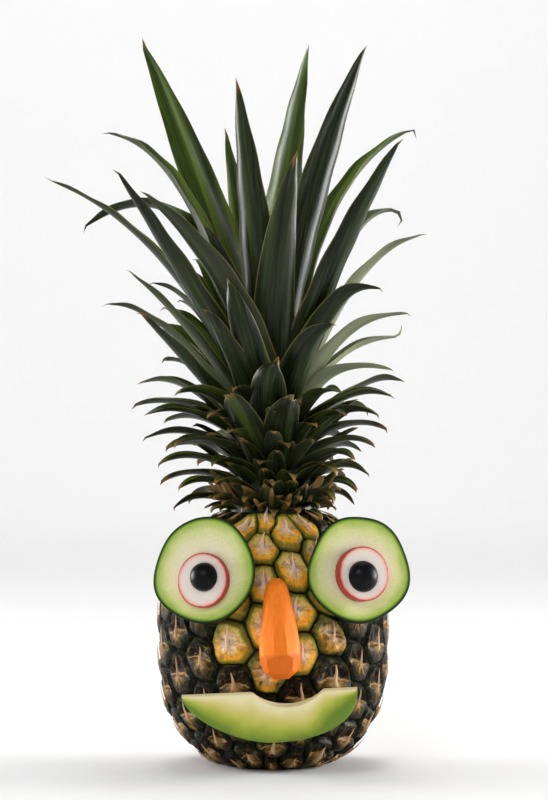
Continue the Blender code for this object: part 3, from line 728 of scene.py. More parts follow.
def rind_material():
    """Waxy pineapple rind, grown: each eye is green to gold, glossy and lined by a dark groove;
    the gold at the front and top is partly painted light, and the groove's dark line and the
    crease are painted shade.
    """
    made, add = new_material("pineapple_rind")
    share, up, side, ripeness, draw = (
        add("Attribute", attribute_name=name)
        for name in ("share", "up", "side", "ripeness", "draw")
    )
    place = add("TexCoord")
    blotch = add("TexNoise", place, per(4.17), 4.0)
    grain = add("TexNoise", place, per(0.667), 3.0)
    fleck = add("TexNoise", place, per(1.54), 5.0)
    # Fibres that run out from the eye's middle, about 50 of them all round
    angle = add("Math", side, add("Math", up, -1.0, operation="MULTIPLY"), operation="ARCTAN2")
    spread = add("Math", angle, 8.0, operation="MULTIPLY")
    strand = add("CombineXYZ", spread, share, add("Math", draw, 60.0, operation="MULTIPLY"))
    fibre = add("TexNoise", strand, 1.3, 4.0)
    # Each tone runs from the eye's middle to its groove, unevenly, below and above the bract
    uneven = add("Math", share, add("MapRange", fibre, 0.3, 0.7, -0.2, 0.2), operation="ADD")
    # The golden tones, at the front and top, are ripeness and painted light; the dark ones, at the
    # sides and bottom, unripe skin and painted shade
    ripe_lit_lower = (
        (0.12, "#fbeee0"),
        (0.34, "#fcdfb0"),
        (0.48, "#fcbe40"),
        (0.72, "#f4a414"),
        (0.88, "#a8921e"),
    )
    ripe_lit_upper = ((0.14, "#fceee2"), (0.42, "#f6dab4"), (0.6, "#e8c466"), (0.84, "#a8a232"))
    dark_lower = ((0.05, "#c2a678"), (0.25, "#a07c3a"), (0.4, "#5a4e20"), (0.6, "#15140a"))
    dark_upper = ((0.38, "#060705"), (0.52, "#0d0e09"), (0.62, "#221d11"), (0.74, "#5a4a30"))
    upper = add("MapRange", up, -0.05, 0.2)
    ripe, dark = (
        add("Mix", upper, add("ValToRGB", low, stops=below), add("ValToRGB", high, stops=above))
        for low, below, high, above in (
            (uneven, ripe_lit_lower, uneven, ripe_lit_upper),
            (uneven, dark_lower, blotch, dark_upper),
        )
    )
    # Ripeness, with painted light on the front and top, spreads in patches, so its edge isn't even
    patches = add("MapRange", blotch, 0.3, 0.7, -0.25, 0.25)
    patchy = add("Math", ripeness, patches, operation="ADD")
    eye = add("Mix", add("MapRange", patchy, 0.25, 0.75), dark, ripe)
    eye = add("Mix", add("MapRange", fleck, 0.52, 0.68, 0.0, 0.5), eye, "#7a4e1e")
    # A pale dry edge runs out to each side from the spine's foot, with a dark line of painted
    # shade over it where the skin creases
    sag = add("Math", add("Math", side, side, operation="MULTIPLY"), 0.16, operation="MULTIPLY")
    height = add("Math", up, add("Math", sag, 0.08, operation="SUBTRACT"), operation="ADD")
    ragged = add("MapRange", blotch, 0.3, 0.7, -0.06, 0.06)
    height = add("Math", height, ragged, operation="ADD")
    reach = add("MapRange", add("Math", side, operation="ABSOLUTE"), 0.78, 0.5)
    over = add("Math", add("Math", height, 0.07, operation="SUBTRACT"), operation="ABSOLUTE")
    crease_shade = add("Math", reach, add("MapRange", over, 0.08, 0.02, 0.0, 0.75), operation="MULTIPLY")
    fading = add("MapRange", patchy, 0.1, 0.7, 1.0, 0.35)
    # Painted shade: the crease over the dry edge is darkened, less on ripe eyes
    eye = add("Mix", add("Math", crease_shade, fading, operation="MULTIPLY"), eye, "#20180d")
    near = add("MapRange", add("Math", height, operation="ABSOLUTE"), 0.05, 0.02)
    edge = add("Math", add("Math", reach, near, operation="MULTIPLY"), 0.85, operation="MULTIPLY")
    eye = add("Mix", edge, eye, add("Mix", patchy, "#b48c54", "#efd3ae"))
    # The rim is a greener band, and the groove outside it a dark line of painted shade
    band = ((0.7, "#000000"), (0.82, "#ffffff"), (0.90, "#ffffff"), (0.97, "#000000"))
    rim = add("Math", add("ValToRGB", share, stops=band), 0.65, operation="MULTIPLY")
    rim_tone = add("Mix", add("MapRange", patchy, 0.1, 0.6), "#0f120a", "#556220")
    eye = add("Mix", rim, eye, rim_tone)
    # Painted shade: the groove is darkened almost to black
    eye = add("Mix", add("MapRange", share, 0.89, 0.98), eye, "#10160a")
    shown = add("MapRange", share, 0.9, 0.5, 0.0, 0.65)
    strands = add("Mix", shown, "#ffffff", add("ValToRGB", fibre, stops=FIBRE_TONES))
    relief = add("Math", fibre, add("Math", grain, 0.5, operation="MULTIPLY"), operation="ADD")
    bump = {"Height": relief, "Strength": 0.7, "Distance": 0.6 * MM}
    tone = add("Mix", 1.0, eye, strands, blend_type="MULTIPLY")
    rough = add("MapRange", grain, 0.3, 0.7, 0.3, 0.55)
    shine = add("MapRange", patchy, 0.0, 0.6, 0.1, 0.22)
    return dressed(made, tone, rough, shine, add("Bump", sockets=bump))


def bract_material():
    """Dry papery bract: fibres fan out from a pale spine, golden to pinkish where it is ripe,
    which at the fruit's front and top is partly painted light.
    """
    made, add = new_material("dry_bract")
    across, ahead, ripeness, draw = (
        add("Attribute", attribute_name=name) for name in ("across", "ahead", "ripeness", "draw")
    )
    # The fibres run from the spine to the fan's edge, about 40 of them across
    spread = add("Math", across, 9.0, operation="MULTIPLY")
    line = add("CombineXYZ", spread, ahead, add("Math", draw, 60.0, operation="MULTIPLY"))
    fibre = add("TexNoise", line, 2.2, 4.0)
    ripe = (
        (0.0, "#dca628"),
        (0.15, "#f0bc68"),
        (0.3, "#f6d2b6"),
        (0.5, "#f4d8c6"),
        (0.9, "#f0d8b8"),
    )
    unripe = (
        (0.0, "#15150d"),
        (0.12, "#4f4026"),
        (0.3, "#a48658"),
        (0.5, "#b89a76"),
        (0.9, "#cbb08a"),
    )
    unripe, ripe = (add("ValToRGB", ahead, stops=stops) for stops in (unripe, ripe))
    base = add("Mix", ripeness, unripe, ripe)
    strands = add("ValToRGB", fibre, stops=FIBRE_TONES)
    bump = {"Height": fibre, "Strength": 0.6, "Distance": 0.25 * MM}
    tone = add("Mix", 0.8, base, strands, blend_type="MULTIPLY")
    return dressed(made, tone, 0.6, 0.35, add("Bump", sockets=bump))


class FruitSettings(bpy.types.PropertyGroup):
    groove_depth: length("Groove depth", "How deep the groove round each fruitlet is", 3 * MM)
    spine_length: length(
        "Spine length", "Length of a bract's spine above the middle of its fruitlet", 8.5 * MM
    )
    spine_width: length("Spine width", "Width of a spine at its root", 2 * MM)
    bract_thickness: length("Bract thickness", "Thickness of the dry bracts", 0.5 * MM)
    lean: length("Spine variation", "How much the spines differ in length and lean", 2 * MM)
    fold_height: length(
        "Fold height", "Height of the folds that run down from a fruitlet's middle", 0.3 * MM
    )
    fan_reach: factor(
        "Fan reach", "How far down its fruitlet a bract's fan reaches, as a share", 0.4
    )
    fan_spread: factor(
        "Fan spread", "How wide a bract's fan is, as a share of its fruitlet", 0.42
    )
    # The ripe front is partly painted light: these set where the front is golden
    ripe_lit_half_angle: degrees(
        "Ripe half angle", "Half of the angle over which the front of the fruit is ripe", 29
    )
    ripe_lit_from: length(
        "Ripe above", "Height above which the front of the fruit is ripe", 58 * MM
    )

    def ripe_and_lit_at(self, azimuth, height, draw):
        """0 where a fruitlet is dark and unripe, to 1 where it is golden: ripeness, with painted
        light that makes the front and top golden and painted shade that darkens the sides and
        bottom.
        """
        turned = abs(azimuth)
        front = 1 - eased(self.ripe_lit_half_angle - 16, self.ripe_lit_half_angle + 20, turned)
        back = 1 - eased(25, 60, abs(turned - 150))
        high = eased(self.ripe_lit_from - 26 * MM, self.ripe_lit_from + 14 * MM, height)
        ripeness = max(front, BACK_RIPENESS * back) * high
        return min(max(ripeness + (draw - 0.5) * RIPENESS_VARIATION, 0.0), 1.0)


class FruitOperator(bpy.types.Operator):
    """Grow the fruit's skin: its fruitlets, and the dry bract and spine on each one"""

    bl_idname = "pineapple.fruit"
    bl_label = "Fruit"

    def execute(self, context):
        settings = context.scene.pineapple.fruit
        draw = random.Random(SEED)
        heights = [draw.uniform(-1, 1) * HEIGHT_VARIATION for _ in LENGTHS]
        fruitlets = [
            Fruitlet(place, raised, draw.random(), settings)
            for place, raised in enumerate(heights)
        ]
        skin = new_bmesh("share", "up", "side", "ripeness", "draw")
        bracts = new_bmesh("across", "ahead", "ripeness", "draw")
        for fruitlet in fruitlets:
            shaped_grid(skin, 36, 9, fruitlet.skin)
            shaped_grid(bracts, 10, 14, fruitlet.bract)
        close_ends(skin)
        close_ends(bracts)
        piece_from(skin, "fruit_skin", rind_material(), "fruit")
        piece_from(bracts, "fruit_bracts", bract_material(), "fruit")
        return {"FINISHED"}


# Crown


def stem_radius(height):
    share = (height - FRUIT_HEIGHT) / (STEM_TOP_HEIGHT - FRUIT_HEIGHT)
    return STEM_BASE_RADIUS + (STEM_TOP_RADIUS - STEM_BASE_RADIUS) * min(share, 1.0)


def spiral(
    seed,
    count,
    root,
    reach,
    tip_rise,
    arch,
    width,
    turn=GOLDEN_ANGLE,
    sector=(0, math.inf),
    swing=6,
    vary=(3, 3, 0),
    front_loss=0,
    front_lift=0,
    shift=0,
):
    """Leaves up a spiral, each in the plane of its azimuth and lifted by its arch halfway.

    The swing is drawn for the azimuth, and the three of vary for the reach, tip rise and width.
    """
    draw = random.Random(SEED + seed)
    for i in range(count):
        share = i / (count - 1)
        azimuth = sector[0] + i * turn % (sector[1] - sector[0])
        if swing:
            azimuth += draw.uniform(-swing, swing)
        front = max(0.0, math.cos(math.radians(azimuth))) ** 2
        out = between(reach, share) * (1 - front_loss * front)
        out -= shift * math.sin(math.radians(azimuth))
        out += draw.uniform(-vary[0], vary[0])
        rise = between(tip_rise, share) + front_lift * front + draw.uniform(-vary[1], vary[1])
        wide = between(width, share)
        if vary[2]:
            wide += draw.uniform(-vary[2], vary[2])
        foot = between(root, share)
        ahead = direction(azimuth)
        up = Vector((0, 0, foot + rise / 2 + between(arch, share)))
        halfway = ahead * (stem_radius(foot * MM) / MM + out) / 2 + up
        yield foot, halfway, ahead * out + Vector((0, 0, foot + rise)), wide


LEAF_NUMBERS = ("across", "across_mm", "along_mm", "outer", "to_tip", "dryness", "bloom", "draw")


class Leaf:
    """A blade bent along a parabola, with a channelled section, thin margins and a turned tip."""

    def __init__(self, row, draw, dryness, settings, hook=None, turn=None, bloom=None):
        root_height, halfway, tip, width = row
        halfway, self.tip = Vector(halfway) * MM, Vector(tip) * MM
        foot = stem_radius(root_height * MM) - ROOT_SINK
        out = Vector((halfway.x, halfway.y, 0)).normalized()
        self.root = out * foot + Vector((0, 0, root_height * MM))
        self.control = 2 * halfway - (self.root + self.tip) / 2
        self.level = Vector((-out.y, out.x, 0))
        self.half = width * MM / 2
        hook = hook or (draw.uniform(*HOOK_LENGTHS), draw.uniform(*HOOK_TURNS))
        self.hook_length, self.hook_turn = hook[0] * MM, math.radians(hook[1])
        self.line_length = (halfway - self.root).length + (self.tip - halfway).length
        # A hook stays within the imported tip, unless it turns back over the blade
        turned_over = abs(hook[1]) > TURNED_OVER
        self.hook_from = 1.0 if turned_over else 1 - self.hook_length / self.line_length
        self.length = self.line_length * self.hook_from + self.hook_length
        self.draw = draw.random()
        self.bloom = LIGHT_BLOOM * self.draw**3 if bloom is None else bloom
        self.dryness = dryness * draw.uniform(DRYNESS_LEAST, 1.0) ** 2
        twist = draw.uniform(-1, 1) * settings.twist
        self.twist = math.radians(twist if turn is None else turn)
        self.wave = draw.uniform(0, math.tau)
        self.settings = settings

    def line(self, ahead):
        """The point and the direction at a share of the length, along parabola and hook."""
        run = ahead * self.length / self.line_length
        t = min(run, self.hook_from)
        point = self.root * (1 - t) ** 2 + self.control * 2 * t * (1 - t) + self.tip * t**2
        along = ((self.control - self.root) * (1 - t) + (self.tip - self.control) * t).normalized()
        turned = self.hook_turn * (run - t) * self.line_length / self.hook_length
        if turned:
            side = (self.level - along * self.level.dot(along)).normalized()
            radius = self.hook_length / self.hook_turn
            down = side.cross(along)
            point += (along * math.sin(turned) + down * (1 - math.cos(turned))) * radius
            along = along * math.cos(turned) + down * math.sin(turned)
        return point, along

    def blade(self, around, ahead):
        """The blade's surface at a share round its section and a share of its length."""
        settings = self.settings
        point, along = self.line(ahead)
        side = (self.level - along * self.level.dot(along)).normalized()
        side.rotate(Matrix.Rotation(self.twist * eased(0, TWIST_SHARE, ahead), 3, along))
        inner = along.cross(side)
        neck = 1 - LEAF_NECK * max(0.0, 1 - ahead / LEAF_NECK_SHARE) ** 2
        half = self.half * neck * (1 - ahead**LEAF_FULLNESS) ** LEAF_TAPER
        across, face = math.cos(math.tau * around), math.sin(math.tau * around)
        channel = 2 * half * settings.channel * abs(across) ** CHANNEL_POWER
        wave = math.sin(self.wave + ahead * self.length / settings.wave_length) * across**2
        thickness = settings.thickness * (1 - MARGIN_THINNING * across**2)
        lift = settings.wave * wave - face * thickness / 2
        lift *= eased(0, LEAF_TIP_SHARE, 1 - ahead)
        point += side * half * across + inner * (channel + lift)
        values = {
            "across": across,
            "across_mm": across * half / MM,
            "along_mm": ahead * self.length / MM,
            "outer": face,
            "to_tip": (1 - ahead) * self.length / MM,
            "dryness": self.dryness,
            "bloom": self.bloom,
            "draw": self.draw,
        }
        return point, values


def leaf_material():
    """Waxy pineapple leaf: dark fibrous green with a grey bloom, heavier on the right as painted
    light, a tan margin and a dry tip.
    """
    made, add = new_material("pineapple_leaf")
    across, across_mm, along_mm, outer, to_tip, dryness, heavy, draw = (
        add("Attribute", attribute_name=name) for name in LEAF_NUMBERS
    )
    # Fibres about 0.8 mm apart that run the leaf's length, and bands of tone about 5 mm wide
    slow = add("Math", along_mm, 0.03, operation="MULTIPLY")
    scattered = add("Math", draw, 90.0, operation="MULTIPLY")
    strand = add("CombineXYZ", across_mm, slow, scattered)
    fibre = add("TexNoise", strand, 1.25, 3.0)
    band = add("TexNoise", strand, 0.22, 2.0)
    outside = ((0.3, "#0c1206"), (0.5, "#161f09"), (0.62, "#26320f"), (0.74, "#434e1f"))
    inside = ((0.3, "#1b2709"), (0.5, "#374a12"), (0.7, "#667c28"))
    outside, inside = (add("ValToRGB", band, stops=stops) for stops in (outside, inside))
    tone = add("Mix", add("MapRange", outer, -0.1, 0.1), inside, outside)
    # The grey bloom lies in streaks between the fibres, and over all of the palest leaves, on the
    # right, where it is partly painted light
    streaks = add("MapRange", fibre, 0.5, 0.75, 0.0, 0.1)
    cloud = add("MapRange", band, 0.3, 0.6, 0.45, 0.85)
    cloud = add("Math", heavy, cloud, operation="MULTIPLY")
    tone = add("Mix", add("Math", streaks, cloud, operation="MAXIMUM"), tone, "#969c7c")
    edge = add("Math", across, operation="ABSOLUTE")
    tone = add("Mix", add("MapRange", edge, 0.94, 0.99, 0.0, 0.5), tone, "#8c7c48")
    # The dry tip reaches up to 16 mm down, with a ragged end
    ragged = add("Math", fibre, 6.0, operation="MULTIPLY")
    nearness = add("Math", to_tip, ragged, operation="SUBTRACT")
    reach = add("Math", dryness, 16.0, operation="MULTIPLY")
    tone = add("Mix", add("MapRange", nearness, reach, -3.0), tone, "#8a6a3c")
    bump = {"Height": fibre, "Strength": 0.35, "Distance": 0.2 * MM}
    rough = add("MapRange", fibre, 0.3, 0.7, 0.24, 0.42)
    return dressed(made, tone, rough, 0.2, add("Bump", sockets=bump))


class CrownSettings(bpy.types.PropertyGroup):
    channel: factor(
        "Channel", "How high a leaf's margins stand over its middle, as a share of its width", 0.25
    )
    thickness: length("Leaf thickness", "Thickness of a leaf at its middle", 1.4 * MM)
    twist: degrees("Twist", "Most that a leaf's tip turns about its own length", 14)
    wave: length("Wave", "Height of the waves along a leaf's margins", 0.45 * MM)
    wave_length: length(
        "Wave length", "Length of a wave along the margins, divided by a full turn", 5 * MM
    )


class CrownOperator(bpy.types.Operator):
    """Grow the crown: its stem, long leaves, ruff and collar"""

    bl_idname = "pineapple.crown"
    bl_label = "Crown"

    def execute(self, context):
        settings = context.scene.pineapple.crown
        bm = new_bmesh(*LEAF_NUMBERS)
        draw = random.Random(SEED + 3)
        own = (HOOKED_TIPS, TURNED_LEAVES, BLOOMED_AND_LIT_LEAVES)
        groups = [(14, 32, 0.5, LONG_LEAVES, own)]
        groups += [(*row, spiral(**growth), ()) for *row, growth in SPIRALS]
        for across, along, dryness, leaves, tables in groups:
            for i, row in enumerate(leaves):
                leaf = Leaf(row, draw, dryness, settings, *(table.get(i) for table in tables))
                shaped_grid(bm, across, along, leaf.blade)
        shaped_grid(bm, 24, 8, stem_point)
        close_ends(bm)
        piece_from(bm, "crown_leaves", leaf_material(), "crown", sharp=50)
        return {"FINISHED"}


def stem_point(around, ahead):
    """The stem's side, hidden among the feet of the leaves."""
    height = FRUIT_HEIGHT + GAP + (STEM_TOP_HEIGHT - FRUIT_HEIGHT - GAP) * ahead
    place = direction(360 * around) * stem_radius(height) + Vector((0, 0, height))
    values = {"across_mm": 360 * around, "along_mm": height / MM, "outer": 1.0, "to_tip": 100.0}
    return place, values


# Face


def slice_of(radius, sides, thickness, edge, rings):
    """A round slice with its back at 0, a softened front edge, and rings in its front."""
    bm = bmesh.new()
    bmesh.ops.create_circle(bm, cap_ends=True, segments=sides, radius=radius)
    made = bmesh.ops.extrude_face_region(bm, geom=list(bm.faces))["geom"]
    front = [item for item in made if isinstance(item, bmesh.types.BMVert)]
    bmesh.ops.translate(bm, verts=front, vec=(0, 0, thickness))
    bmesh.ops.bevel(
        bm,
        geom=[e for e in bm.edges if all(v.co.z > thickness / 2 for v in e.verts)],
        offset=edge,
        segments=3,
        affect="EDGES",
        profile=0.5,
        material=-1,
    )
    add_rings(bm, rings)
    return bm


def add_rings(bm, rings, out=1):
    """Insets the front, or with -1 the back, by each of these widths in millimetres."""
    cut = [f for f in bm.faces if f.normal.z * out > 0.99]
    for width in rings:
        bmesh.ops.inset_region(bm, faces=cut, thickness=width * MM, use_even_offset=True)


def on_eye(side, offset, raised):
    """The place on an eye's seat at this offset, raised over the pieces below."""
    return EYE_SEATS[side].place @ Matrix.Translation((*offset, raised))


def outline_of(eye, point):
    """How far out the cucumber's skin lies towards a point, as a share of its radius."""
    angle = math.atan2(point.y, point.x)
    share = 1 + CUCUMBER_LOBE_SHARE * math.cos(CUCUMBER_LOBES * angle + eye["lobe_phase"])
    for middle, depth, spread in eye["dents"]:
        off = abs((angle - math.radians(middle) + math.pi) % math.tau - math.pi)
        share *= 1 - depth * (1 - eased(0, math.radians(spread), off))
    return share


def cucumber_material(side, place):
    """Cut cucumber: wet cream flesh that greens towards a thin dark skin."""
    made, add = new_material(f"{side}_cut_cucumber")
    turned = (place.to_translation(), place.to_euler())
    local = add("Mapping", add("TexCoord"), *turned, vector_type="TEXTURE")
    share = add("Attribute", attribute_name="share_of_radius")
    # The flesh's tone drifts over about 12 mm, and its grain is about 1 mm
    drift = add("MapRange", add("TexNoise", local, per(11.8), 2.0), 0.2, 0.8, -0.07, 0.07)
    grain = add("TexNoise", local, per(1.11), 3.0)
    flesh = ((0.3, "#e6e0c0"), (0.6, "#dedab0"), (0.78, "#ccd08a"), (0.93, "#97b046"))
    flesh = add("ValToRGB", add("Math", share, drift, operation="ADD"), stops=flesh)
    skin = ((0.90, "#a0bc4c"), (0.935, "#74982e"), (0.96, "#33501a"), (0.978, "#16230d"))
    skin_share = add("MapRange", share, 0.87, 0.94)
    tone = add("Mix", skin_share, flesh, add("ValToRGB", share, stops=skin))
    speckle = add("MapRange", grain, 0.3, 0.7, 0.92, 1.04)
    bump = {"Height": grain, "Strength": 0.25, "Distance": 0.15 * MM}
    tone = add("VectorMath", tone, speckle, operation="SCALE")
    shine = add("MapRange", skin_share, 0.4, 1.0, 0.35, 0.14)
    return dressed(made, tone, 0.34, shine, add("Bump", sockets=bump))


def radish_material(side, place):
    """Cut radish: wet white flesh, with a thin red skin that stains the flesh beside it pink."""
    made, add = new_material(f"{side}_cut_radish")
    turned = (place.to_translation(), place.to_euler())
    local = add("Mapping", add("TexCoord"), *turned, vector_type="TEXTURE")
    x, y = (add("SeparateXYZ", local, output=axis) for axis in "XY")
    radius = add("VectorMath", add("CombineXYZ", x, y), operation="LENGTH")
    share = add("Math", radius, RADISH_RADIUS, operation="DIVIDE")
    grain = add("TexNoise", local, per(2), 3.0)
    uneven = add("MapRange", grain, 0.2, 0.8, -0.02, 0.02)
    tones = (
        (0.0, "#e2dacd"),
        (0.76, "#e2d6cc"),
        (0.88, "#e4c4b8"),
        (0.935, "#e0958a"),
        (0.958, "#c4453a"),
        (0.985, "#a52c20"),
    )
    tone = add("ValToRGB", add("Math", share, uneven, operation="ADD"), stops=tones)
    bump = {"Height": grain, "Strength": 0.2, "Distance": 0.1 * MM}
    return dressed(made, tone, 0.36, 0.5, add("Bump", sockets=bump))


class FaceSettings(bpy.types.PropertyGroup):
    cut_edge: length("Cut edge", "Radius left on the edges of a cut slice", 0.5 * MM)


class CucumberOperator(bpy.types.Operator):
    """Cut the two cucumber slices"""

    bl_idname = "pineapple.cucumbers"
    bl_label = "Cucumber slices"

    def execute(self, context):
        edge = context.scene.pineapple.face.cut_edge
        for side, eye in EYES.items():
            place = EYE_SEATS[side].place
            bm = slice_of(CUCUMBER_RADIUS, 120, CUCUMBER_THICKNESS, edge, (1, 2, 3, 4, 5, 5))
            add_rings(bm, (1, 2, 3), -1)
            layer = bm.verts.layers.float.new("share_of_radius")
            for vert in bm.verts:
                vert[layer] = vert.co.xy.length / CUCUMBER_RADIUS
                # The flesh lies a little lower than the skin, and isn't flat
                if vert.co.z > CUCUMBER_THICKNESS - 0.1 * MM:
                    sink = noise.noise(vert.co * FLESH_SCALE) * FLESH_UNEVENNESS - FLESH_SINK
                    vert.co.z += sink * eased(0.03, 0.2, 1 - vert[layer])
                # The cut slants, so its front is set off inwards and is wider than the back
                slant = vert.co.z / CUCUMBER_THICKNESS
                vert.co.xy *= outline_of(eye, vert.co)
                vert.co.x *= 1 + eye["front_widening"] * slant
                vert.co.x += eye["front_shift"] * slant
            bmesh.ops.transform(bm, matrix=place, verts=bm.verts)
            material = cucumber_material(side, place)
            node = f"{side}_cucumber_slice"
            piece_from(bm, f"{side}_cucumber", material, node, sharp=50)
        return {"FINISHED"}


class RadishOperator(bpy.types.Operator):
    """Cut the two radish slices"""

    bl_idname = "pineapple.radishes"
    bl_label = "Radish slices"

    def execute(self, context):
        edge = context.scene.pineapple.face.cut_edge
        for side, eye in EYES.items():
            place = on_eye(side, eye["radish_place"], CUCUMBER_THICKNESS + GAP)
            bm = slice_of(RADISH_RADIUS, 96, eye["radish_thickness"], edge, (0.8, 1.5, 2.5, 3))
            bmesh.ops.transform(bm, matrix=place, verts=bm.verts)
            material = radish_material(side, place)
            piece_from(bm, f"{side}_radish", material, f"{side}_radish_slice", sharp=50)
        return {"FINISHED"}


def olive_material():
    """Cured black olive: a smooth dark skin with a soft sheen."""
    made, add = new_material("black_olive")
    # Faint mottling about 2 mm across
    mottle = add("TexNoise", add("TexCoord"), per(2.22), 3.0)
    tones = ((0.3, "#040407"), (0.6, "#08080c"), (0.8, "#131016"))
    bump = {"Height": mottle, "Strength": 0.25, "Distance": 0.15 * MM}
    tone = add("ValToRGB", mottle, stops=tones)
    rough = add("MapRange", mottle, 0.3, 0.7, 0.3, 0.4)
    return dressed(made, tone, rough, 0.15, add("Bump", sockets=bump))


class OliveOperator(bpy.types.Operator):
    """Cut the two rounded olive ends"""

    bl_idname = "pineapple.olives"
    bl_label = "Olive ends"

    def execute(self, context):
        finish = olive_material()
        for side, eye in EYES.items():
            raised = CUCUMBER_THICKNESS + eye["radish_thickness"] + 2 * GAP
            place = on_eye(side, eye["olive_place"], raised)
            bm = bmesh.new()
            bmesh.ops.create_uvsphere(bm, u_segments=48, v_segments=24, radius=eye["olive_radius"])
            cut_off(bm, (0, 0, 0), (0, 0, -1))
            close_ends(bm)
            bmesh.ops.scale(bm, verts=bm.verts, vec=(1, 1, OLIVE_HEIGHT / eye["olive_radius"]))
            for vert in bm.verts:
                if vert.co.z > 0.2 * MM:
                    place_in_noise = vert.co * OLIVE_DENT_SCALE + Vector((eye["x"] * 900, 0, 0))
                    vert.co *= 1 + OLIVE_DENT * noise.noise(place_in_noise)
            bmesh.ops.transform(bm, matrix=place, verts=bm.verts)
            piece_from(bm, f"{side}_olive", finish, f"{side}_olive_end")
        return {"FINISHED"}


def carrot_material(place):
    """Peeled carrot: moist orange flesh with faint lengthwise fibres and peeler marks, and painted
    shade on its lower end.
    """
    made, add = new_material("peeled_carrot")
    turned = (place.to_translation(), place.to_euler())
    local = add("Mapping", add("TexCoord"), *turned, vector_type="TEXTURE")
    # Fibres about 1 mm apart along the root, and blotches about 8 mm across
    stretched = add("Mapping", local, sockets={"Scale": (1.0, 0.08, 1.0)})
    fibre = add("TexNoise", stretched, per(1.11), 4.0)
    blotch = add("TexNoise", local, per(7.7), 3.0)
    tones = ((0.3, "#f67a14"), (0.5, "#fa821c"), (0.72, "#fc8c30"))
    tone = add("ValToRGB", fibre, stops=tones)
    # Painted shade: the trimmed end below the step, which faces down, is darker
    uneven = add("MapRange", blotch, 0.3, 0.7, -0.6 * MM, 0.6 * MM)
    height = add("Math", add("SeparateXYZ", local, output="Y"), uneven, operation="ADD")
    tone = add("Mix", add("MapRange", height, -11.5 * MM, -13 * MM, 0.0, 0.7), tone, "#c95c10")
    tone = add("Mix", add("MapRange", blotch, 0.35, 0.7, 0.0, 0.2), tone, "#e0640e")
    bump = {"Height": fibre, "Strength": 0.3, "Distance": 0.2 * MM}
    return dressed(made, tone, 0.55, 0.2, add("Bump", sockets=bump))


class CarrotOperator(bpy.types.Operator):
    """Peel and trim the carrot nose"""

    bl_idname = "pineapple.carrot"
    bl_label = "Carrot nose"

    def execute(self, context):
        place = NOSE_SEAT.place
        bm = bmesh.new()

        def side(around, ahead):
            height = ahead * CARROT_LENGTH
            half = carrot_half(height)
            angle = math.tau * around
            out = Vector((math.cos(angle), 0, math.sin(angle))) * half
            return Vector((0, height - CARROT_LENGTH / 2, half * CARROT_STAND_SHARE)) + out, {}

        shaped_grid(bm, 72, 48, side)
        close_ends(bm)
        # The flat back, then the strips that the peeler left, then the trimmed lower end
        cuts = [(Vector((0, 0, 0)), Vector((0, 0, -1)))]
        for turned, height, slope, depth in CARROT_CUTS:
            half = carrot_half(height * MM)
            outward = direction_in_section(turned, slope)
            centre = Vector((0, height * MM - CARROT_LENGTH / 2, half * CARROT_STAND_SHARE))
            cuts.append((centre + direction_in_section(turned, 0) * (half - depth * MM), outward))
        for point, outward in cuts:
            cut_off(bm, point, outward)
            bmesh.ops.holes_fill(bm, edges=[e for e in bm.edges if e.is_boundary], sides=0)
        bmesh.ops.transform(bm, matrix=place, verts=bm.verts)
        piece_from(bm, "carrot_tip", carrot_material(place), "carrot_nose", sharp=14)
        return {"FINISHED"}


def direction_in_section(turned, slope):
    """Outward across the carrot at this angle, and turned this far towards its upper end."""
    angle, rise = math.radians(turned), math.radians(slope)
    level = math.cos(rise)
    return Vector((math.cos(angle) * level, math.sin(rise), math.sin(angle) * level))


def carrot_half(height):
    """Half-width of the carrot at a height above its lower end, smooth between its stations."""
    stations = [(h * MM, half * MM) for h, half in CARROT_STATIONS]
    i = max(k for k in range(len(stations) - 1) if stations[k][0] <= height + MERGE)
    (low, first), (high, second) = stations[i], stations[i + 1]
    before = stations[max(i - 1, 0)]
    after = stations[min(i + 2, len(stations) - 1)]
    t = min(max((height - low) / (high - low), 0.0), 1.0)
    slope_low = (second - before[1]) / (high - before[0]) * (high - low)
    slope_high = (after[1] - first) / (after[0] - low) * (high - low)
    return (
        first * (2 * t**3 - 3 * t**2 + 1)
        + slope_low * (t**3 - 2 * t**2 + t)
        + second * (3 * t**2 - 2 * t**3)
        + slope_high * (t**3 - t**2)
    )


def avocado_material():
    """Ripe avocado flesh: cream by the stone, through yellow, to green under the skin."""
    made, add = new_material("avocado_flesh")
    depth, end = (add("Attribute", attribute_name=name) for name in ("depth", "end"))
    place = add("TexCoord")
    # The tone drifts over about 9 mm, and the flesh's grain is about 1.5 mm
    drift = add("MapRange", add("TexNoise", place, per(9.1), 3.0), 0.2, 0.8, -0.08, 0.08)
    grain = add("TexNoise", place, per(1.43), 3.0)
    greened = add("Math", depth, end, operation="ADD")
    tones = (
        (0.05, "#f2e8b8"),
        (0.28, "#e4d58e"),
        (0.48, "#cfc862"),
        (0.68, "#a6b23a"),
        (0.86, "#85992a"),
        (1.0, "#68861f"),
    )
    tone = add("ValToRGB", add("Math", greened, drift, operation="ADD"), stops=tones)
    bump = {"Height": grain, "Strength": 0.15, "Distance": 0.15 * MM}
    return dressed(made, tone, 0.4, 0.35, add("Bump", sockets=bump))


class AvocadoOperator(bpy.types.Operator):
    """Cut the avocado slice of the mouth"""

    bl_idname = "pineapple.avocado"
    bl_label = "Avocado mouth"

    def execute(self, context):
        bm = new_bmesh("depth", "end")
        shaped_grid(bm, 40, 72, avocado_point)
        close_ends(bm)
        middle = Matrix.Translation((0, AVOCADO_DROP / 2, 0))
        bmesh.ops.transform(bm, matrix=MOUTH_SEAT.place @ middle, verts=bm.verts)
        piece_from(bm, "avocado_slice", avocado_material(), "avocado_mouth", sharp=60)
        return {"FINISHED"}


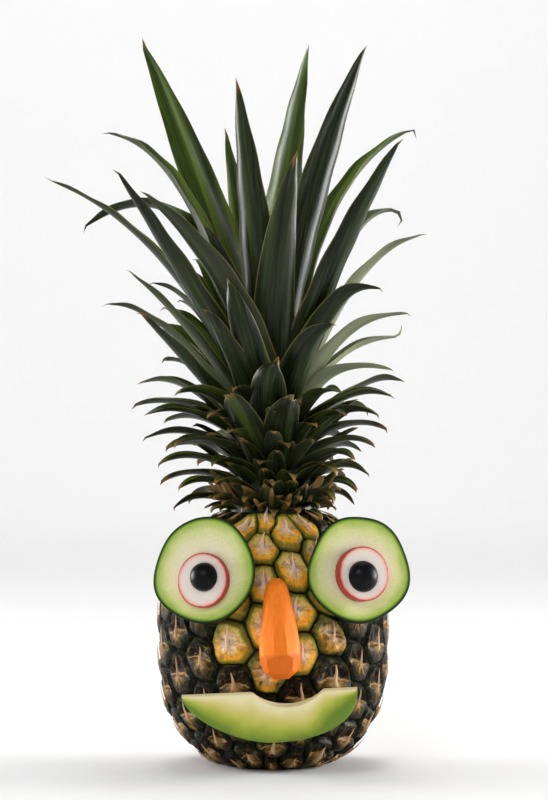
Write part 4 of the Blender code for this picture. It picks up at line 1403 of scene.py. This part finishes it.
def avocado_point(around, ahead):
    """The slice at a share round its section, top to skin to back, and a share of its length."""
    angle = math.pi * ahead
    power = AVOCADO_LEFT_POWER if math.cos(angle) > 0 else AVOCADO_RIGHT_POWER
    x = math.copysign(abs(math.cos(angle)) ** (2 / power), -math.cos(angle)) * AVOCADO_LENGTH / 2
    low = -(math.sin(angle) ** (2 / power)) * AVOCADO_DROP
    share = (x - STONE_HOLLOW_X) / STONE_HOLLOW_HALF_WIDTH
    high = 0.0
    if abs(share) < 1:
        high = -STONE_HOLLOW_DEPTH * (1 - share**2) ** STONE_HOLLOW_FULLNESS
    # The section is a rounded wedge: front, skin side, back and the cut top
    turn = math.tau * around
    down, out = (1 - math.cos(turn)) / 2, math.sin(turn)
    down = eased(0.02, 0.98, down)
    squared = math.copysign(abs(out) ** 0.35, out)
    y = high + (low - high) * down
    wedge = AVOCADO_WEDGE * (1 + squared) / 2
    reach = AVOCADO_TOP_THICKNESS / AVOCADO_WEDGE - y
    centre = AVOCADO_TOP_THICKNESS / AVOCADO_WEDGE
    place = Vector((x, centre - reach * math.cos(wedge), reach * math.sin(wedge)))
    outer = x / (AVOCADO_LENGTH / 2)
    green = 0.55 * eased(0.35, 1.0, outer) if outer > 0 else 0.3 * eased(0.3, 1.0, -outer)
    return place, {"depth": down, "end": green * min(1.0, 4 * down)}


def stick_material():
    """Turned birch: pale, with faint straight grain."""
    made, add = new_material("birch_stick")
    tones = ((0.3, "#c49a62"), (0.6, "#d9b781"), (0.8, "#e6cb9c"))
    tone = add("ValToRGB", add("TexNoise", add("TexCoord"), per(1.67), 3.0), stops=tones)
    return dressed(made, tone, 0.65)


class StickOperator(bpy.types.Operator):
    """Give the hidden cocktail sticks their wood"""

    bl_idname = "pineapple.sticks"
    bl_label = "Cocktail sticks"

    def execute(self, context):
        finish = stick_material()
        for name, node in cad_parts.items():
            if name.endswith("_stick"):
                node.data.materials.clear()
                node.data.materials.append(finish)
        return {"FINISHED"}


# Stage


class StageSettings(bpy.types.PropertyGroup):
    camera_distance: length("Camera distance", "From the fruit's axis to the camera", 1.5)
    camera_height: length("Camera height", "Height of the level camera above the floor", 0.189)
    lens: FloatProperty(
        name="Lens",
        description="Focal length in millimetres, for a frame 36 mm high",
        default=129.8,
    )
    floor_colour: FloatVectorProperty(
        name="Floor colour",
        description="Colour of the pale floor and its sweep",
        default=colour("#e8e8e8")[:3],
        subtype="COLOR",
        size=3,
        min=0,
        max=1,
    )


FRAME_HEIGHT = 36
FLOOR_RADIUS = 3.0
SWEEP_RADIUS = 1.2
SWEEP_TOP = 3.2

# Soft lights: the name, the place and the size in metres, and the power in watts
LIGHTS = (
    ("key", (-0.55, -1.8, 1.5), 0.8, 13),
    ("left_rim", (-1.4, 0.45, 0.22), 0.9, 30),
    ("right_rim", (1.4, 0.35, 0.22), 0.9, 38),
    ("top", (0.0, 0.6, 2.4), 1.0, 20),
)

# Lights on the wall: the name, the azimuth and the power
WALL_LIGHTS = (("front", 0, 8), ("right", 90, 18), ("back", 180, 43), ("left", 270, 18))
WALL_LIGHT_OUT = 2.8
WALL_LIGHT_HEIGHT = 2.6
WALL_LIGHT_SIZE = 2.2
WALL_AIM_OUT = 4.2
WALL_AIM_HEIGHT = 0.9
AIM = Vector((0, 0, 0.19))
WORLD_STRENGTH = 0.2
CAMERA_RIGHT = 0.3 * MM


def sweep(settings):
    """A round floor whose rim curves up to a wall, so that every side sees the same ground."""
    bm = bmesh.new()
    profile = [bm.verts.new((0, 0, 0)), bm.verts.new((FLOOR_RADIUS, 0, 0))]
    for i in range(1, 9):
        angle = math.pi / 2 * i / 8
        out = FLOOR_RADIUS + SWEEP_RADIUS * math.sin(angle)
        profile.append(bm.verts.new((out, 0, SWEEP_RADIUS * (1 - math.cos(angle)))))
    profile.append(bm.verts.new((FLOOR_RADIUS + SWEEP_RADIUS, 0, SWEEP_TOP)))
    edges = [bm.edges.new(pair) for pair in zip(profile, profile[1:])]
    bmesh.ops.spin(
        bm,
        geom=profile + edges,
        cent=(0, 0, 0),
        axis=(0, 0, 1),
        angle=math.tau,
        steps=96,
        use_merge=True,
    )
    bmesh.ops.remove_doubles(bm, verts=bm.verts, dist=MERGE)
    mesh = bpy.data.meshes.new("floor_sweep")
    bm.to_mesh(mesh)
    bm.free()
    mesh.shade_smooth()
    paper = new_material("matt_paper")[0]
    mesh.materials.append(dressed(paper, (*settings.floor_colour, 1), 0.9))
    floor = bpy.data.objects.new("floor_sweep", mesh)
    bpy.context.scene.collection.objects.link(floor)


def soft_light(name, place, aim, size, power):
    """A round soft light at the place, turned to its aim."""
    light = bpy.data.lights.new(name, "AREA")
    light.shape = "DISK"
    light.size = size
    light.energy = power
    lamp = bpy.data.objects.new(name, light)
    bpy.context.scene.collection.objects.link(lamp)
    lamp.location = place
    lamp.rotation_euler = (aim - place).to_track_quat("-Z", "Y").to_euler()


class StageOperator(bpy.types.Operator):
    """Set the floor, the soft lights and the level camera"""

    bl_idname = "pineapple.stage"
    bl_label = "Stage"

    def execute(self, context):
        settings = context.scene.pineapple.stage
        scene = context.scene
        sweep(settings)
        for name, place, size, power in LIGHTS:
            soft_light(name, Vector(place), AIM, size, power)
        for name, azimuth, power in WALL_LIGHTS:
            place = direction(azimuth) * WALL_LIGHT_OUT
            place.z = WALL_LIGHT_HEIGHT
            aim = direction(azimuth) * WALL_AIM_OUT
            aim.z = WALL_AIM_HEIGHT
            soft_light(f"{name}_wall", place, aim, WALL_LIGHT_SIZE, power)
        world = bpy.data.worlds.new("studio")
        world.use_nodes = True
        background = world.node_tree.nodes["Background"]
        background.inputs["Color"].default_value = (1, 1, 1, 1)
        background.inputs["Strength"].default_value = WORLD_STRENGTH
        scene.world = world
        camera = bpy.data.cameras.new("camera")
        camera.sensor_fit = "VERTICAL"
        camera.sensor_height = FRAME_HEIGHT
        camera.lens = settings.lens
        viewer = bpy.data.objects.new("camera", camera)
        scene.collection.objects.link(viewer)
        viewer.location = (CAMERA_RIGHT, -settings.camera_distance, settings.camera_height)
        viewer.rotation_euler = (math.pi / 2, 0, 0)
        scene.camera = viewer
        scene.view_settings.view_transform = "Standard"
        return {"FINISHED"}


class PineappleSettings(bpy.types.PropertyGroup):
    fruit: PointerProperty(type=FruitSettings)
    crown: PointerProperty(type=CrownSettings)
    face: PointerProperty(type=FaceSettings)
    stage: PointerProperty(type=StageSettings)


OPERATORS = (
    FruitOperator,
    CrownOperator,
    CucumberOperator,
    RadishOperator,
    OliveOperator,
    CarrotOperator,
    AvocadoOperator,
    StickOperator,
    StageOperator,
)


class PineapplePanel(bpy.types.Panel):
    """Lists the pieces of the pineapple and their settings"""

    bl_idname = "VIEW3D_PT_pineapple"
    bl_label = "Pineapple"
    bl_space_type = "VIEW_3D"
    bl_region_type = "UI"
    bl_category = "Pineapple"

    def draw(self, context):
        for operator in OPERATORS:
            self.layout.operator(operator.bl_idname)
        settings = context.scene.pineapple
        for group in (settings.fruit, settings.crown, settings.face, settings.stage):
            box = self.layout.box()
            for name in group.__annotations__:
                box.prop(group, name)


CLASSES = (
    FruitSettings,
    CrownSettings,
    FaceSettings,
    StageSettings,
    PineappleSettings,
    *OPERATORS,
    PineapplePanel,
)


def register():
    for item in CLASSES:
        bpy.utils.register_class(item)
    bpy.types.Scene.pineapple = PointerProperty(type=PineappleSettings)


def unregister():
    del bpy.types.Scene.pineapple
    for item in reversed(CLASSES):
        bpy.utils.unregister_class(item)


def main():
    register()
    for operator in OPERATORS:
        group, name = operator.bl_idname.split(".")
        getattr(getattr(bpy.ops, group), name)()


if __name__ == "__main__":
    main()
